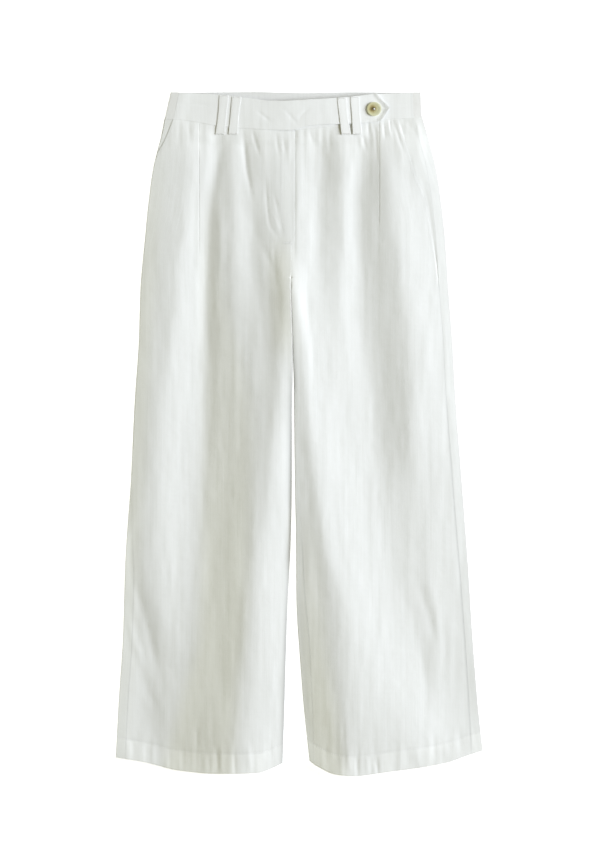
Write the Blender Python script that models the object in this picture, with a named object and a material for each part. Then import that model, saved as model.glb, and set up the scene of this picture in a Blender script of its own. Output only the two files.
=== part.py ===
"""Wide cropped linen trousers, laid flat with the front up, built from the pieces they are cut in.

Frame: +Y runs from the hems to the waist, +Z is up from the table and +X is the wearer's left,
because the front faces up. The origin is on the table under the middle of the outline.
Working sizes are millimetres; `add_shell` turns them into metres.
A "drop" is a distance down the garment from the top of the back waistband.
"""

import math

import bmesh
import bpy
import numpy as np
from mathutils import Matrix, Vector

# ---------------------------------------------------------------- driving sizes, millimetres
MM = 0.001
LENGTH = 970.0          # top of the back waistband to the lowest point of the hems
CLOTH = 1.2             # wall of a panel, its turnings included
BAND = 2.0              # wall of the waistband, two cloths and their stiffening
GAP = 0.3               # clearance between neighbouring pieces
WAIST_GAP = 0.5         # clearance along the curved waist seam

SIDE_MID = 5.0          # height of the side and inseam edges, where back turns into front
EDGE_ROLL = 8.0         # breadth of the soft roll at a panel edge
EDGE_STEPS = 40         # steps round a rolled edge when a section is measured
RISE_STRIP = 12.0       # strip of the back beside the rise seam that takes the closer columns
CENTRE_X = -12.0        # the rise seam, a little to the wearer's right
CROTCH = 281.0          # drop of the crotch point
ROLL_START = 240.0      # drop where the rise seams begin to turn in towards the crotch

WAIST_ROW = 41.0        # nominal drop of the panels' top row, moved to the band seam
WAIST_FADE = 70.0       # drop over which the rows lose the bend of the band seam
HEM_ROW = 960.0         # nominal drop of the panels' bottom row, moved to the hem line
HEM_FADE = 90.0         # drop over which the rows take up the bend of the hem line

FLY_LAP = 7.0           # the right front laps this far over the left one along the fly
FLY_END = 214.0         # drop where the lap ends
LAP_GONE = 226.0        # drop where the fronts meet edge to edge again
FLY_SINK = 1.55         # the left front lies this much lower under the lap
LEVEL_AGAIN = 250.0     # drop where the left front is back at its own height
SINK_FROM_CENTRE = (20.0, 8.0)  # distances from the rise seam over which the left front sinks

RIGHT, LEFT = -1, 1     # the wearer's sides, and the sign of X there

# Rows of the panel grids, as nominal drops from the waist to the hem.
PANEL_ROWS = (41, 68, 95, 130, 175, 214, 226, 250, 281, 315, 360, 430, 510, 600, 690, 780, 860,
              915, 960)

# Outer outline: drop, wearer's right edge, wearer's left edge (X).
OUTLINE = (
    (0, -182.5, 172.5),
    (33, -189.6, 173.6),
    (67, -196.7, 182.5),
    (111, -208.0, 194.5),
    (153, -213.7, 201.0),
    (210, -219.4, 207.3),
    (281, -225.7, 212.0),
    (352, -227.9, 217.3),
    (437, -233.6, 222.2),
    (551, -239.3, 230.8),
    (665, -247.0, 239.3),
    (778, -250.6, 246.4),
    (863, -256.3, 253.0),
    (960, -260.6, 260.6),
)

# Inner edges of the legs: drop, wearer's right leg, wearer's left leg (X).
INSEAMS = (
    (0, CENTRE_X, CENTRE_X),
    (240, CENTRE_X, CENTRE_X),
    (281, -12.2, -11.8),
    (409, -11.4, -9.4),
    (466, -10.9, -7.8),
    (636, -13.5, -5.0),
    (721, -16.3, -4.4),
    (807, -19.2, 0.7),
    (863, -20.6, 5.0),
    (960, -23.5, 13.8),
)

# Where the side seam and the inseam lie on the front: drop, then the distance in from the edge.
SEAM_INSETS = (
    # drop, right side, right inseam, left inseam, left side
    (0, 0.0, 0.0, 0.0, 14.0),
    (466, 0.0, 0.0, 0.0, 14.0),
    (551, 2.0, 0.0, 3.0, 14.0),
    (600, 5.0, 0.0, 6.0, 14.0),
    (696, 13.0, 0.0, 11.0, 13.0),
    (778, 13.0, 0.0, 15.0, 12.0),
    (860, 13.0, 0.0, 13.0, 13.0),
    (960, 13.0, 0.0, 7.0, 16.0),
)

# Slanted pocket edges of the fronts: drop, then the distance in from the side edge.
POCKET_RIGHT = ((40, 13.5), (70, 7.0), (99, 0.0), (960, 0.0))
POCKET_LEFT = ((40, 36.0), (108, 34.0), (153, 24.0), (217, 19.0), (250, 16.0), (281, 14.0), (960, 0.0))
POCKET_END_RIGHT = 95.0     # last row of each facing
POCKET_END_LEFT = 250.0
FACING_COLUMNS = 5      # the facing runs in under this many columns of the front
FACING_TUCK = 6.0       # and this far out under the back panel's turned edge

# Waist lines: X, drop.
BACK_TOP = ((-190, 1.2), (-60, 0.0), (5, 1.4), (70, 0.2), (180, 1.2))
FRONT_TOP = ((-190, 1.2), (-110, 5.0), (-77, 9.0), (-42, 13.0), (-25, 13.5), (1, 12.0), (72, 8.0),
             (109, 4.0), (180, 1.2))
BACK_SEAM = ((-200, 40.0), (180, 38.0))
FRONT_SEAM = ((-200, 40.0), (-178, 40.0), (-120, 48.0), (-85, 52.0), (-13, 55.0), (43, 50.0), (72, 47.0),
              (114, 41.0), (172, 38.0), (200, 38.0))
BAND_SIDE = 12.0        # the back band wraps this far on to the front

# The band's right end: a pointed tab that crosses to the wearer's left. X, top drop, bottom drop.
TAB = (
    (-6, 12.6, 54.4),
    (4, 12.4, 49.0),
    (16, 11.9, 47.4),
    (45, 10.4, 46.6),
    (72, 8.9, 45.8),
    (92, 6.6, 45.0),
    (109, 4.6, 43.8),
    (116, 13.0, 40.0),
    (123.5, 21.6, 24.6),
)
TAB_RISE = (-20.0, -6.0)    # X over which the band climbs on to the left band
LEFT_BAND_END = 2.0         # X of the left band's hidden end under the tab

# Hem lines: X, drop.
HEM_RIGHT = ((-261, 944), (-221, 951), (-170, 963), (-119, 967), (-59, 966), (-42, 961), (-23, 952))
HEM_LEFT = ((13, 948), (26, 957), (52, 968), (77, 970), (128, 964), (180, 957), (214, 950), (239, 941),
            (261, 934))

# Height of the front over the table along its fold lines, as (X, height) where a section crosses them.
# Right half, from the side inwards; "centre" is the height at the rise seam or the inseam.
RIGHT_FOLDS = (
    # drop, side, outer crest, pleat valley, thigh crest, thigh valley, inner crest, centre
    (0, 8.5, (-150, 10.0), (-115, 10.5), (-95, 11.0), (-80, 11.2), (-50, 11.8), 12.0),
    (50, 9.5, (-157, 12.6), (-117, 12.4), (-97, 13.0), (-84, 12.7), (-55, 13.8), 14.3),
    (68, 9.5, (-157, 14.0), (-117, 11.5), (-97, 14.0), (-84, 12.8), (-55, 15.0), 17.0),
    (153, 10.0, (-160, 16.5), (-129, 11.0), (-84, 17.5), (-68, 16.0), (-30, 19.0), 21.0),
    (238, 10.0, (-172, 17.5), (-131, 10.5), (-84, 19.5), (-68, 18.0), (-35, 21.0), 23.5),
    (300, 10.0, (-180, 18.0), (-133, 10.5), (-80, 20.0), (-62, 19.5), (-30, 22.5), 21.0),
    (351, 10.0, (-184, 18.5), (-134, 10.5), (-74, 20.0), (-58, 19.8), (-28, 21.5), 17.0),
    (430, 10.0, (-192, 18.5), (-137, 10.5), (-100, 15.0), (-70, 18.0), (-37, 21.5), 14.0),
    (578, 10.0, (-200, 18.0), (-146, 11.0), (-105, 15.0), (-70, 18.5), (-43, 21.5), 13.0),
    (720, 10.0, (-190, 15.5), (-162, 13.0), (-112, 15.5), (-85, 18.0), (-60, 21.0), 12.0),
    (800, 10.0, (-182, 13.8), (-160, 13.6), (-112, 15.6), (-88, 18.0), (-66, 21.0), 12.0),
    (960, 10.0, (-205, 12.0), (-165, 12.8), (-115, 14.8), (-90, 17.0), (-72, 19.5), 12.0),
)
# Left half, from the centre outwards.
LEFT_FOLDS = (
    # drop, centre, centre crest, front valley, front crest, pleat valley, outer crest, side
    (0, 12.0, (-4, 12.0), (30, 11.6), (58, 11.4), (98, 10.8), (118, 10.5), 8.5),
    (50, 14.3, (-4, 14.4), (30, 13.1), (60, 13.6), (100, 12.2), (117, 12.7), 9.5),
    (68, 17.0, (-4, 17.5), (29, 12.8), (60, 15.5), (100, 11.9), (117, 13.8), 10.0),
    (153, 21.0, (-4, 21.5), (29, 14.5), (58, 18.0), (88, 11.4), (130, 17.0), 10.0),
    (238, 23.5, (-4, 24.0), (38, 16.5), (56, 17.3), (90, 11.0), (142, 17.5), 10.0),
    (300, 23.0, (-2, 24.5), (42, 17.5), (56, 17.3), (93, 11.0), (147, 18.0), 10.0),
    (351, 20.0, (4, 24.0), (45, 18.5), (62, 17.5), (98, 11.0), (153, 18.0), 10.0),
    (430, 14.5, (14, 23.0), (50, 18.8), (75, 15.5), (107, 11.0), (160, 16.8), 10.0),
    (578, 12.0, (33, 22.5), (60, 19.8), (85, 16.2), (120, 11.6), (172, 14.8), 10.0),
    (720, 11.5, (60, 22.0), (90, 19.2), (120, 16.2), (170, 12.3), (205, 13.5), 10.0),
    (800, 11.5, (72, 21.0), (105, 18.2), (135, 15.7), (193, 12.6), (213, 13.2), 10.0),
    (960, 11.5, (88, 18.0), (115, 16.6), (145, 14.9), (190, 12.7), (212, 12.7), 10.0),
)

# Knife pleats, folded towards the side seams: X of the fold, then (drop, depth) down to where it opens.
PLEAT_RIGHT = (-142.0, ((41, 11.0), (130, 8.0), (175, 5.0), (214, 0.0)))
PLEAT_LEFT = (113.0, ((41, 11.0), (95, 8.0), (130, 5.0), (175, 0.0)))
PLEAT_SLACK = 0.8       # air between a pleat's upper two cloths, and between its lower two
PLEAT_SINK = (26.0, 2.0)    # distances outside the fold over which the cloth under it sinks
PLEAT_BLEND = (-2.5, 3.5)   # columns either side of the fold line once the pleat has opened
RISER_EDGE = 0.6        # soft corner of the step where the pleat opens

# Belt loops: name, X at the top end, X at the bottom end.
BELT_LOOPS = (
    ("belt_loop_right_outer", -103.5, -110.5),
    ("belt_loop_right_inner", -87.5, -92.5),
    ("belt_loop_left_inner", 63.0, 67.0),
    ("belt_loop_left_outer", 81.0, 82.6),
)
LOOP_WIDTH = 14.0
LOOP_WALL = 1.6
LOOP_BOTTOM = 62.0      # drop of the loops' lower ends
LOOP_INSET = 0.6        # the loops start this far below the band's top edge
LOOP_ARCH = 1.8         # slack of the loop over the band
LOOP_LIFT = 0.4         # the loop's folded edge holds its flat ends this much higher

# Button: a four-hole button on the tab.
BUTTON_AT = (105.0, 24.0)       # X, drop
BUTTON_R = 9.6
BUTTON_RIM_H = 3.2
BUTTON_DISH_H = 1.9
BUTTON_RIM_W = 2.4
BUTTON_HOLE_R = 0.9
BUTTON_HOLE_OUT = 2.1
BUTTON_CHAMFER = 1.2    # height of the underside's sloping edge
BUTTON_ROUND = 0.8      # rounding of the rim's outer top edge
BUTTON_SLOPE = 1.4      # breadth of the slope from the rim down into the dish
BUTTON_SIDES = 28
BUTTON_LIFT = 0.15      # more clearance for the flat button over the bent tab


# ---------------------------------------------------------------- curves through tables
def smooth_curve(xs, ys, x):
    """Monotone cubic through the points (xs, ys): it never overshoots a crest or a valley."""
    xs = np.asarray(xs, float)
    ys = np.asarray(ys, float)
    x = np.clip(np.asarray(x, float), xs[0], xs[-1])
    step = np.diff(xs)
    secant = np.diff(ys) / step
    slope = np.zeros(len(xs))
    slope[0] = secant[0]
    slope[-1] = secant[-1]
    for i in range(1, len(xs) - 1):
        if secant[i - 1] * secant[i] > 0:
            w1 = 2 * step[i] + step[i - 1]
            w2 = step[i] + 2 * step[i - 1]
            slope[i] = (w1 + w2) / (w1 / secant[i - 1] + w2 / secant[i])
    i = np.clip(np.searchsorted(xs, x, side="right") - 1, 0, len(xs) - 2)
    t = (x - xs[i]) / step[i]
    return (ys[i] * (1 + 2 * t) * (1 - t) ** 2 + step[i] * slope[i] * t * (1 - t) ** 2
            + ys[i + 1] * t * t * (3 - 2 * t) - step[i] * slope[i + 1] * t * t * (1 - t))


def column(table, index, at):
    """Value of one column of a table at a place along its first column."""
    return smooth_curve([row[0] for row in table], [row[index] for row in table], at)


def ramp(x, start, end):
    """0 before start, 1 after end, soft between."""
    t = np.clip((np.asarray(x, float) - start) / (end - start), 0.0, 1.0)
    return t * t * (3 - 2 * t)


# ---------------------------------------------------------------- the front's folds
def fold_knots(table, drop):
    """(X, height) of each fold line of one half at a drop; the plain numbers are edge heights."""
    drops = [row[0] for row in table]
    knots = []
    for index in range(1, len(table[0])):
        cells = [row[index] for row in table]
        if isinstance(cells[0], tuple):
            x = smooth_curve(drops, [cell[0] for cell in cells], drop)
            z = smooth_curve(drops, [cell[1] for cell in cells], drop)
            knots.append((float(x), float(z)))
        else:
            knots.append((None, float(smooth_curve(drops, cells, drop))))
    return knots


def side_edge(side, drop):
    return float(column(OUTLINE, 1 if side == RIGHT else 2, drop))


def inner_edge(side, drop):
    return float(column(INSEAMS, 1 if side == RIGHT else 2, drop))


def front_height(x, drop, side):
    """Height of the front's outer face at X, before its edges roll down."""
    right = fold_knots(RIGHT_FOLDS, drop)
    left = fold_knots(LEFT_FOLDS, drop)
    right[0] = (side_edge(RIGHT, drop), right[0][1])
    right[-1] = (inner_edge(RIGHT, drop), right[-1][1])
    left[0] = (inner_edge(LEFT, drop), left[0][1])
    left[-1] = (side_edge(LEFT, drop), left[-1][1])
    if drop < CROTCH:
        knots = right + left[1:]
    else:
        knots = right if side == RIGHT else left
    return smooth_curve([k[0] for k in knots], [k[1] for k in knots], x)


# ---------------------------------------------------------------- one section across one half
class Section:
    """Outer face of one half of the trousers at one drop, in (t, z), t from the side inwards."""

    def __init__(self, side, drop):
        self.side = side
        self.drop = drop
        self.edge = side_edge(side, drop)
        self.width = abs(self.edge - inner_edge(side, drop))
        turned = np.clip((drop - ROLL_START) / (CROTCH - ROLL_START), 0.0, 1.0)
        self.turn = turned * math.pi / 2

    def x(self, t):
        return self.edge - self.side * np.asarray(t, float)

    def places(self, outer_roll, inner_roll, end):
        """Distances t that follow both rolled edges closely."""
        angles = np.linspace(0, math.pi / 2, EDGE_STEPS)
        outer = outer_roll * (1 - np.cos(angles))
        start = self.width - inner_roll * math.sin(self.turn)
        inner = start + inner_roll * np.sin(np.linspace(0, self.turn, EDGE_STEPS))
        body = np.arange(outer_roll, start, 2.0)
        t = np.unique(np.round(np.concatenate([outer, body, inner, [end]]), 6))
        return t[t <= end + 1e-6]

    def roll(self, t, outer_roll, inner_roll):
        """Share of the height kept at t: 0 at a fully rolled edge, 1 away from it."""
        outer = np.sqrt(1 - (1 - np.clip(t / outer_roll, 0, 1)) ** 2)
        start = self.width - inner_roll * math.sin(self.turn)
        into = np.clip((t - start) / inner_roll, 0, math.sin(self.turn))
        return outer * np.sqrt(1 - into ** 2)

    def upper(self, sink=None, end=None):
        """The front side, from the side edge to the centre or the inner edge."""
        t = self.places(EDGE_ROLL, EDGE_ROLL, self.width if end is None else end)
        height = front_height(self.x(t), self.drop, self.side)
        if sink is not None:
            height = height - sink(t)
        z = SIDE_MID + (height - SIDE_MID) * self.roll(t, EDGE_ROLL, EDGE_ROLL)
        return np.column_stack([t, z])

    def lower(self):
        """The back side, flat on the table, from the side edge to the centre or the inner edge."""
        t = self.places(SIDE_MID, SIDE_MID, self.width)
        z = SIDE_MID * (1 - self.roll(t, SIDE_MID, SIDE_MID))
        return np.column_stack([t, z])


class Path:
    """A polyline in (t, z) that can be read by its length or by t, with the face's normal."""

    def __init__(self, points, turn):
        keep = np.r_[True, np.linalg.norm(np.diff(points, axis=0), axis=1) > 1e-6]
        self.points = points[keep]
        self.length = np.r_[0.0, np.cumsum(np.linalg.norm(np.diff(self.points, axis=0), axis=1))]
        tangent = np.gradient(self.points, self.length, axis=0)
        tangent /= np.linalg.norm(tangent, axis=1)[:, None]
        self.normals = turn * np.column_stack([-tangent[:, 1], tangent[:, 0]])

    def total(self):
        return self.length[-1]

    def at(self, s):
        """Points and unit normals at lengths s."""
        point = np.column_stack([np.interp(s, self.length, self.points[:, k]) for k in (0, 1)])
        normal = np.column_stack([np.interp(s, self.length, self.normals[:, k]) for k in (0, 1)])
        return point, normal / np.linalg.norm(normal, axis=1)[:, None]

    def length_at(self, t):
        """Length where the path reaches t, on a path whose t only grows."""
        return np.interp(t, self.points[:, 0], self.length)


def split(start, end, cells):
    return np.linspace(start, end, cells + 1)


# ---------------------------------------------------------------- rows of points for each piece
def front_start(side, drop):
    """Distance in from the side where the front panel begins: its pocket edge or its side seam."""
    seam = float(column(SEAM_INSETS, 1 if side == RIGHT else 4, drop))
    pocket = float(column(POCKET_RIGHT if side == RIGHT else POCKET_LEFT, 1, drop))
    return max(seam, pocket)


def inseam_inset(side, drop):
    return float(column(SEAM_INSETS, 2 if side == RIGHT else 3, drop))


def pleat_depth(side, drop):
    """Depth of the folded cloth; 0 where only a step is left, and below that None."""
    depths = (PLEAT_RIGHT if side == RIGHT else PLEAT_LEFT)[1]
    if drop > depths[-1][0]:
        return None
    return float(np.interp(drop, [d[0] for d in depths], [d[1] for d in depths]))


def pleat_points(section, fold_t, depth):
    """Points (t, z) and normals of the outer face round a pleat, or round its step, side first."""
    stack = pleat_stack()
    radius = CLOTH + PLEAT_SLACK / 2
    if depth:
        turn_in = fold_t + depth
        points = (
            (turn_in, stack),
            (turn_in + PLEAT_SLACK / 2, stack - PLEAT_SLACK / 2),
            (turn_in, 2 * radius),
            (fold_t + radius, 2 * radius),
            (fold_t, radius),
            (fold_t + radius, 0.0),
        )
        normals = ((0, 1), (-1, 0), (0, -1), (0, -1), (-1, 0), (0, 1))
    else:
        corner = RISER_EDGE * stack
        points = (
            (fold_t - RISER_EDGE, stack),
            (fold_t - RISER_EDGE / 4, stack - RISER_EDGE / 4),
            (fold_t, stack - RISER_EDGE),
            (fold_t, corner),
            (fold_t + 0.3 * corner, 0.3 * corner),
            (fold_t + corner, 0.0),
        )
        normals = ((0, 1), (-0.7, 0.7), (-1, 0), (-1, 0), (-0.7, 0.7), (0, 1))
    t, below = np.array(points).T
    z = front_height(section.x(t), section.drop, section.side) - below
    return np.column_stack([t, z]), np.array(normals)


def pleat_stack():
    """How far the cloth under a pleat lies below the pleat's top."""
    return 2 * CLOTH + 2 * PLEAT_SLACK


def front_path(section):
    """The front's outer face, sunk under the pleat and, on the left, under the fly's lap."""
    side, drop = section.side, section.drop
    fold_t = pleat_place(section)

    def sink(t):
        lower = np.zeros_like(t)
        if pleat_depth(side, drop) is not None:
            near = ramp(t, fold_t - PLEAT_SINK[0], fold_t - PLEAT_SINK[1])
            lower = pleat_stack() * near * (t < fold_t)
        if side == LEFT and drop < CROTCH:
            level = np.clip((LEVEL_AGAIN - drop) / (LEVEL_AGAIN - LAP_GONE), 0.0, 1.0)
            start, end = (section.width - distance for distance in SINK_FROM_CENTRE)
            lower = lower + FLY_SINK * level * ramp(t, start, end)
        return lower

    end = section.width
    if side == RIGHT and drop <= FLY_END:
        end += FLY_LAP
    return Path(section.upper(sink, end), 1)


def pleat_place(section):
    """Distance of the pleat's fold in from the side."""
    return abs(section.edge - (PLEAT_RIGHT if section.side == RIGHT else PLEAT_LEFT)[0])


def side_lengths(section, path):
    """Lengths of the front's columns between its side edge and its pleat."""
    start = front_start(section.side, section.drop)
    first = path.length_at(start) + GAP / 2
    outer_end = path.length_at(max(EDGE_ROLL, start) + 7)
    before = path.length_at(pleat_place(section) - 5)
    return np.r_[split(first, outer_end, 3), split(outer_end, before, 3)[1:]]


def front_row(side, drop):
    """Outer face points and normals of a front panel across one row."""
    section = Section(side, drop)
    path = front_path(section)
    fold_t = pleat_place(section)
    depth = pleat_depth(side, drop)
    end = path.points[-1, 0]
    last = path.length_at(end - inseam_inset(side, drop)) - GAP / 2
    inner_end = path.length_at(end - max(EDGE_ROLL, inseam_inset(side, drop)) - 5)
    after = path.length_at(fold_t + max(depth or 0.0, 4.0) + 4)
    if depth is None:
        pleat, pleat_normals = path.at(path.length_at(fold_t + np.linspace(*PLEAT_BLEND, 6)))
    else:
        pleat, pleat_normals = pleat_points(section, fold_t, depth)
    rows = [
        path.at(side_lengths(section, path)),
        (pleat, pleat_normals),
        path.at(np.r_[split(after, inner_end, 11), split(inner_end, last, 4)[1:]]),
    ]
    points = np.concatenate([row[0] for row in rows])
    normals = np.concatenate([row[1] for row in rows])
    return section.x(points[:, 0]), points[:, 1], -side * normals[:, 0], normals[:, 1]


def wrapped_path(section, side_wrap, inner_wrap):
    """From a line on the front, round the side edge, under, and up round the inner edge."""
    upper = section.upper()
    first = Path(upper, 1)
    pieces = []
    if side_wrap > 0:
        point, _ = first.at(np.array([first.length_at(side_wrap)]))
        pieces.append(point)
        pieces.append(upper[upper[:, 0] < side_wrap - 0.05][::-1])
    pieces.append(section.lower())
    if inner_wrap > 0:
        start = section.width - inner_wrap
        pieces.append(upper[upper[:, 0] > start + 0.05][::-1])
        point, _ = first.at(np.array([first.length_at(start)]))
        pieces.append(point)
    return Path(np.concatenate(pieces), -1)


def back_row(side, drop):
    """Outer face points and normals of a back panel across one row."""
    section = Section(side, drop)
    side_wrap = float(column(SEAM_INSETS, 1 if side == RIGHT else 4, drop))
    path = wrapped_path(section, side_wrap, inseam_inset(side, drop))
    flat = path.points[path.points[:, 1] < 1e-6]
    flat_start = path.length[np.argmax(path.points[:, 1] < 1e-6)]
    flat_end = flat_start + flat[-1, 0] - flat[0, 0]
    if section.turn == 0:
        flat_end -= RISE_STRIP
    lengths = np.r_[
        split(GAP / 2, flat_start, 5),
        split(flat_start, flat_end, 4)[1:],
        split(flat_end, path.total() - GAP / 2, 5)[1:],
    ]
    point, normal = path.at(lengths)
    return section.x(point[:, 0]), point[:, 1], -side * normal[:, 0], normal[:, 1]


def facing_row(side, drop):
    """Outer face of a pocket facing: the front's own side columns moved in, and out to the seam."""
    section = Section(side, drop)
    path = front_path(section)
    seam = float(column(SEAM_INSETS, 1 if side == RIGHT else 4, drop))
    under = side_lengths(section, path)[:FACING_COLUMNS]
    first = max(path.length_at(max(seam - FACING_TUCK, 0.0)), min(2.2, under[0] / 2))
    point, normal = path.at(np.r_[split(first, under[0], 3)[:-1], under])
    point = point - (CLOTH + GAP) * normal
    return section.x(point[:, 0]), point[:, 1], -side * normal[:, 0], normal[:, 1]


# ---------------------------------------------------------------- drops that follow the garment's lines
def placed_drop(x, nominal, waist_line, hem_line):
    """Drop of a point: its row's, bent to the waist line at the top and the hem at the bottom."""
    waist = 1 - np.clip((nominal - WAIST_ROW) / WAIST_FADE, 0, 1)
    hem = np.clip((nominal - HEM_ROW) / HEM_FADE + 1, 0, 1)
    shift = waist * (line_drop(waist_line, x) + WAIST_GAP / 2 - WAIST_ROW)
    return nominal + shift + hem * (line_drop(hem_line, x) - HEM_ROW)


def line_drop(line, x):
    return smooth_curve([p[0] for p in line], [p[1] for p in line], x)


def grid(rows, drops):
    """Stack rows of (x, z, nx, nz) into point and normal grids."""
    points = np.array([np.column_stack([x, LENGTH / 2 - d, z]) for (x, z, _, _), d in zip(rows, drops)])
    normals = np.array([np.column_stack([nx, np.zeros_like(nx), nz]) for _, _, nx, nz in rows])
    return points, normals


# ---------------------------------------------------------------- solids
def material(name, colour, roughness):
    made = bpy.data.materials.new(name)
    made.use_nodes = True
    shader = made.node_tree.nodes["Principled BSDF"]
    shader.inputs["Base Color"].default_value = (*colour, 1.0)
    shader.inputs["Roughness"].default_value = roughness
    shader.inputs["Metallic"].default_value = 0.0
    made.diffuse_color = (*colour, 1.0)
    return made


def add_object(name, mesh, finish):
    obj = bpy.data.objects.new(name, mesh)
    bpy.context.scene.collection.objects.link(obj)
    mesh.materials.append(finish)
    return obj


def add_shell(name, points, normals, wall, finish):
    """A closed cloth wall: the outer face, the same face moved in by the wall, and its rim."""
    inner = points - wall * normals
    rows, cols = points.shape[:2]
    verts = np.concatenate([points.reshape(-1, 3), inner.reshape(-1, 3)]) * MM
    back = rows * cols

    def at(r, c):
        return r * cols + c

    faces = []
    for r in range(rows - 1):
        for c in range(cols - 1):
            here, right, down, across = at(r, c), at(r, c + 1), at(r + 1, c), at(r + 1, c + 1)
            for tri in ((here, right, across), (here, across, down)):
                faces.append(tri)
                faces.append(tuple(back + v for v in reversed(tri)))
    rim = [at(0, c) for c in range(cols)] + [at(r, cols - 1) for r in range(1, rows)]
    rim += [at(rows - 1, c) for c in range(cols - 2, -1, -1)] + [at(r, 0) for r in range(rows - 2, 0, -1)]
    for a, b in zip(rim, rim[1:] + rim[:1]):
        faces.append((b, a, back + a, back + b))
    mesh = bpy.data.meshes.new(name)
    mesh.from_pydata(verts.tolist(), [], faces)
    bm = bmesh.new()
    bm.from_mesh(mesh)
    bmesh.ops.recalc_face_normals(bm, faces=bm.faces)
    bm.to_mesh(mesh)
    bm.free()
    mesh.shade_smooth()
    mesh.set_sharp_from_angle(angle=math.radians(50))
    add_object(name, mesh, finish)


def panel(name, side, row_of, waist_line, finish, end=HEM_ROW):
    """A piece from the waist seam down to the hem, or to its last row at or above end."""
    hem_line = HEM_RIGHT if side == RIGHT else HEM_LEFT
    nominal = [float(drop) for drop in PANEL_ROWS if drop <= end]
    rows = [row_of(side, drop) for drop in nominal]
    drops = [placed_drop(row[0], drop, waist_line, hem_line) for row, drop in zip(rows, nominal)]
    points, normals = grid(rows, drops)
    add_shell(name, points, normals, CLOTH, finish)


# ---------------------------------------------------------------- waistband
def band_rows(columns, top_line, seam_line, count=4):
    """Grid over the band: columns of (x, z, nx, nz) as functions of the share of the band's height."""
    shares = np.linspace(0, 1, count)
    rows = [columns(share) for share in shares]
    drops = [share_drop(row[0], share, top_line, seam_line) for row, share in zip(rows, shares)]
    return grid(rows, drops)


def share_drop(x, share, top_line, seam_line):
    """Drop at a share of the way from the band's top line to its seam."""
    return line_drop(top_line, x) * (1 - share) + (line_drop(seam_line, x) - WAIST_GAP / 2) * share


def back_band(finish):
    """The back band lies flat and wraps round both sides on to the front."""
    def columns(share):
        drop = WAIST_ROW * share
        halves = []
        for side in (RIGHT, LEFT):
            section = Section(side, drop)
            path = wrapped_path(section, BAND_SIDE, 0)
            flat_start = path.length[np.argmax(path.points[:, 1] < 1e-6)]
            lengths = np.r_[split(GAP / 2, flat_start, 6), split(flat_start, path.total(), 4)[1:]]
            point, normal = path.at(lengths)
            halves.append((section.x(point[:, 0]), point[:, 1], -side * normal[:, 0], normal[:, 1]))
        right, left = halves
        return [np.r_[a, b[::-1][1:]] for a, b in zip(right, left)]

    points, normals = band_rows(columns, BACK_TOP, BACK_SEAM)
    add_shell("waistband_back", points, normals, BAND, finish)


def front_level(x, drop):
    """Height of the front's outer face at a true place: on the band above the seam, or the panel."""
    seam = float(line_drop(FRONT_SEAM, x))
    if drop <= seam:
        top = float(line_drop(FRONT_TOP, x))
        nominal = WAIST_ROW * max(drop - top, 0.0) / (seam - top)
    else:
        bend = seam - WAIST_ROW
        nominal = (drop - bend - WAIST_ROW * bend / WAIST_FADE) / (1 - bend / WAIST_FADE)
    return float(front_height(x, nominal, RIGHT))


def front_band(name, places, top_line, seam_line, lift, finish):
    """A front band over the X places at each drop, raised by lift(x)."""
    def columns(share):
        xs = places(WAIST_ROW * share)
        drops = share_drop(xs, share, top_line, seam_line)
        z = np.array([front_level(x, drop) for x, drop in zip(xs, drops)]) + lift(xs)
        slope = np.gradient(z, xs)
        scale = 1 / np.sqrt(1 + slope ** 2)
        return xs, z, -slope * scale, scale

    points, normals = band_rows(columns, top_line, seam_line)
    add_shell(name, points, normals, BAND, finish)


def tab_lift(x):
    return (BAND + GAP) * ramp(x, *TAB_RISE)


def add_waistband(finish):
    """The band in three parts: the back, the left front, and the right front with its tab."""
    def right_places(drop):
        start = side_edge(RIGHT, drop) + BAND_SIDE + GAP / 2
        return np.r_[np.linspace(start, TAB_RISE[0], 12), -13.0, [x for x, _, _ in TAB]]

    def left_places(drop):
        end = side_edge(LEFT, drop) - BAND_SIDE - GAP / 2
        under_tab = [x for x, _, _ in TAB if x > LEFT_BAND_END + 5]
        return np.r_[LEFT_BAND_END, under_tab, np.linspace(under_tab[-1], end, 5)[1:]]

    tab_top = tuple(p for p in FRONT_TOP if p[0] < TAB[0][0]) + tuple((x, top) for x, top, _ in TAB)
    tab_foot = tuple(p for p in FRONT_SEAM if p[0] < TAB[0][0]) + tuple((x, foot) for x, _, foot in TAB)
    back_band(finish)
    front_band("waistband_front_right", right_places, tab_top, tab_foot, tab_lift, finish)
    front_band("waistband_front_left", left_places, FRONT_TOP, FRONT_SEAM, lambda x: 0 * x, finish)


# ---------------------------------------------------------------- belt loops
def cover_height(x, drop):
    """Top of whatever lies under a belt loop: the band with its tab, or the front panel."""
    return front_level(x, drop) + float(tab_lift(x))


def belt_loop(name, top_x, bottom_x, finish):
    """A strip over the band, sewn down at both ends and slack between them."""
    centre = (top_x + bottom_x) / 2
    top = float(line_drop(FRONT_TOP, centre)) + LOOP_INSET
    shares = np.linspace(0, 1, 11)
    points = []
    for share in shares:
        drop = top + (LOOP_BOTTOM - top) * share
        middle = top_x + (bottom_x - top_x) * share
        arch = LOOP_ARCH * math.sin(math.pi * share) ** 0.7
        row = []
        for across in (-0.5, 0.0, 0.5):
            x = middle + across * LOOP_WIDTH
            z = cover_height(x, drop) + GAP + arch + LOOP_WALL + LOOP_LIFT
            row.append((x, LENGTH / 2 - drop, float(z)))
        points.append(row)
    points = np.array(points)
    normals = np.zeros_like(points)
    normals[:, :, 2] = 1.0
    add_shell(name, points, normals, LOOP_WALL, finish)


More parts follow.
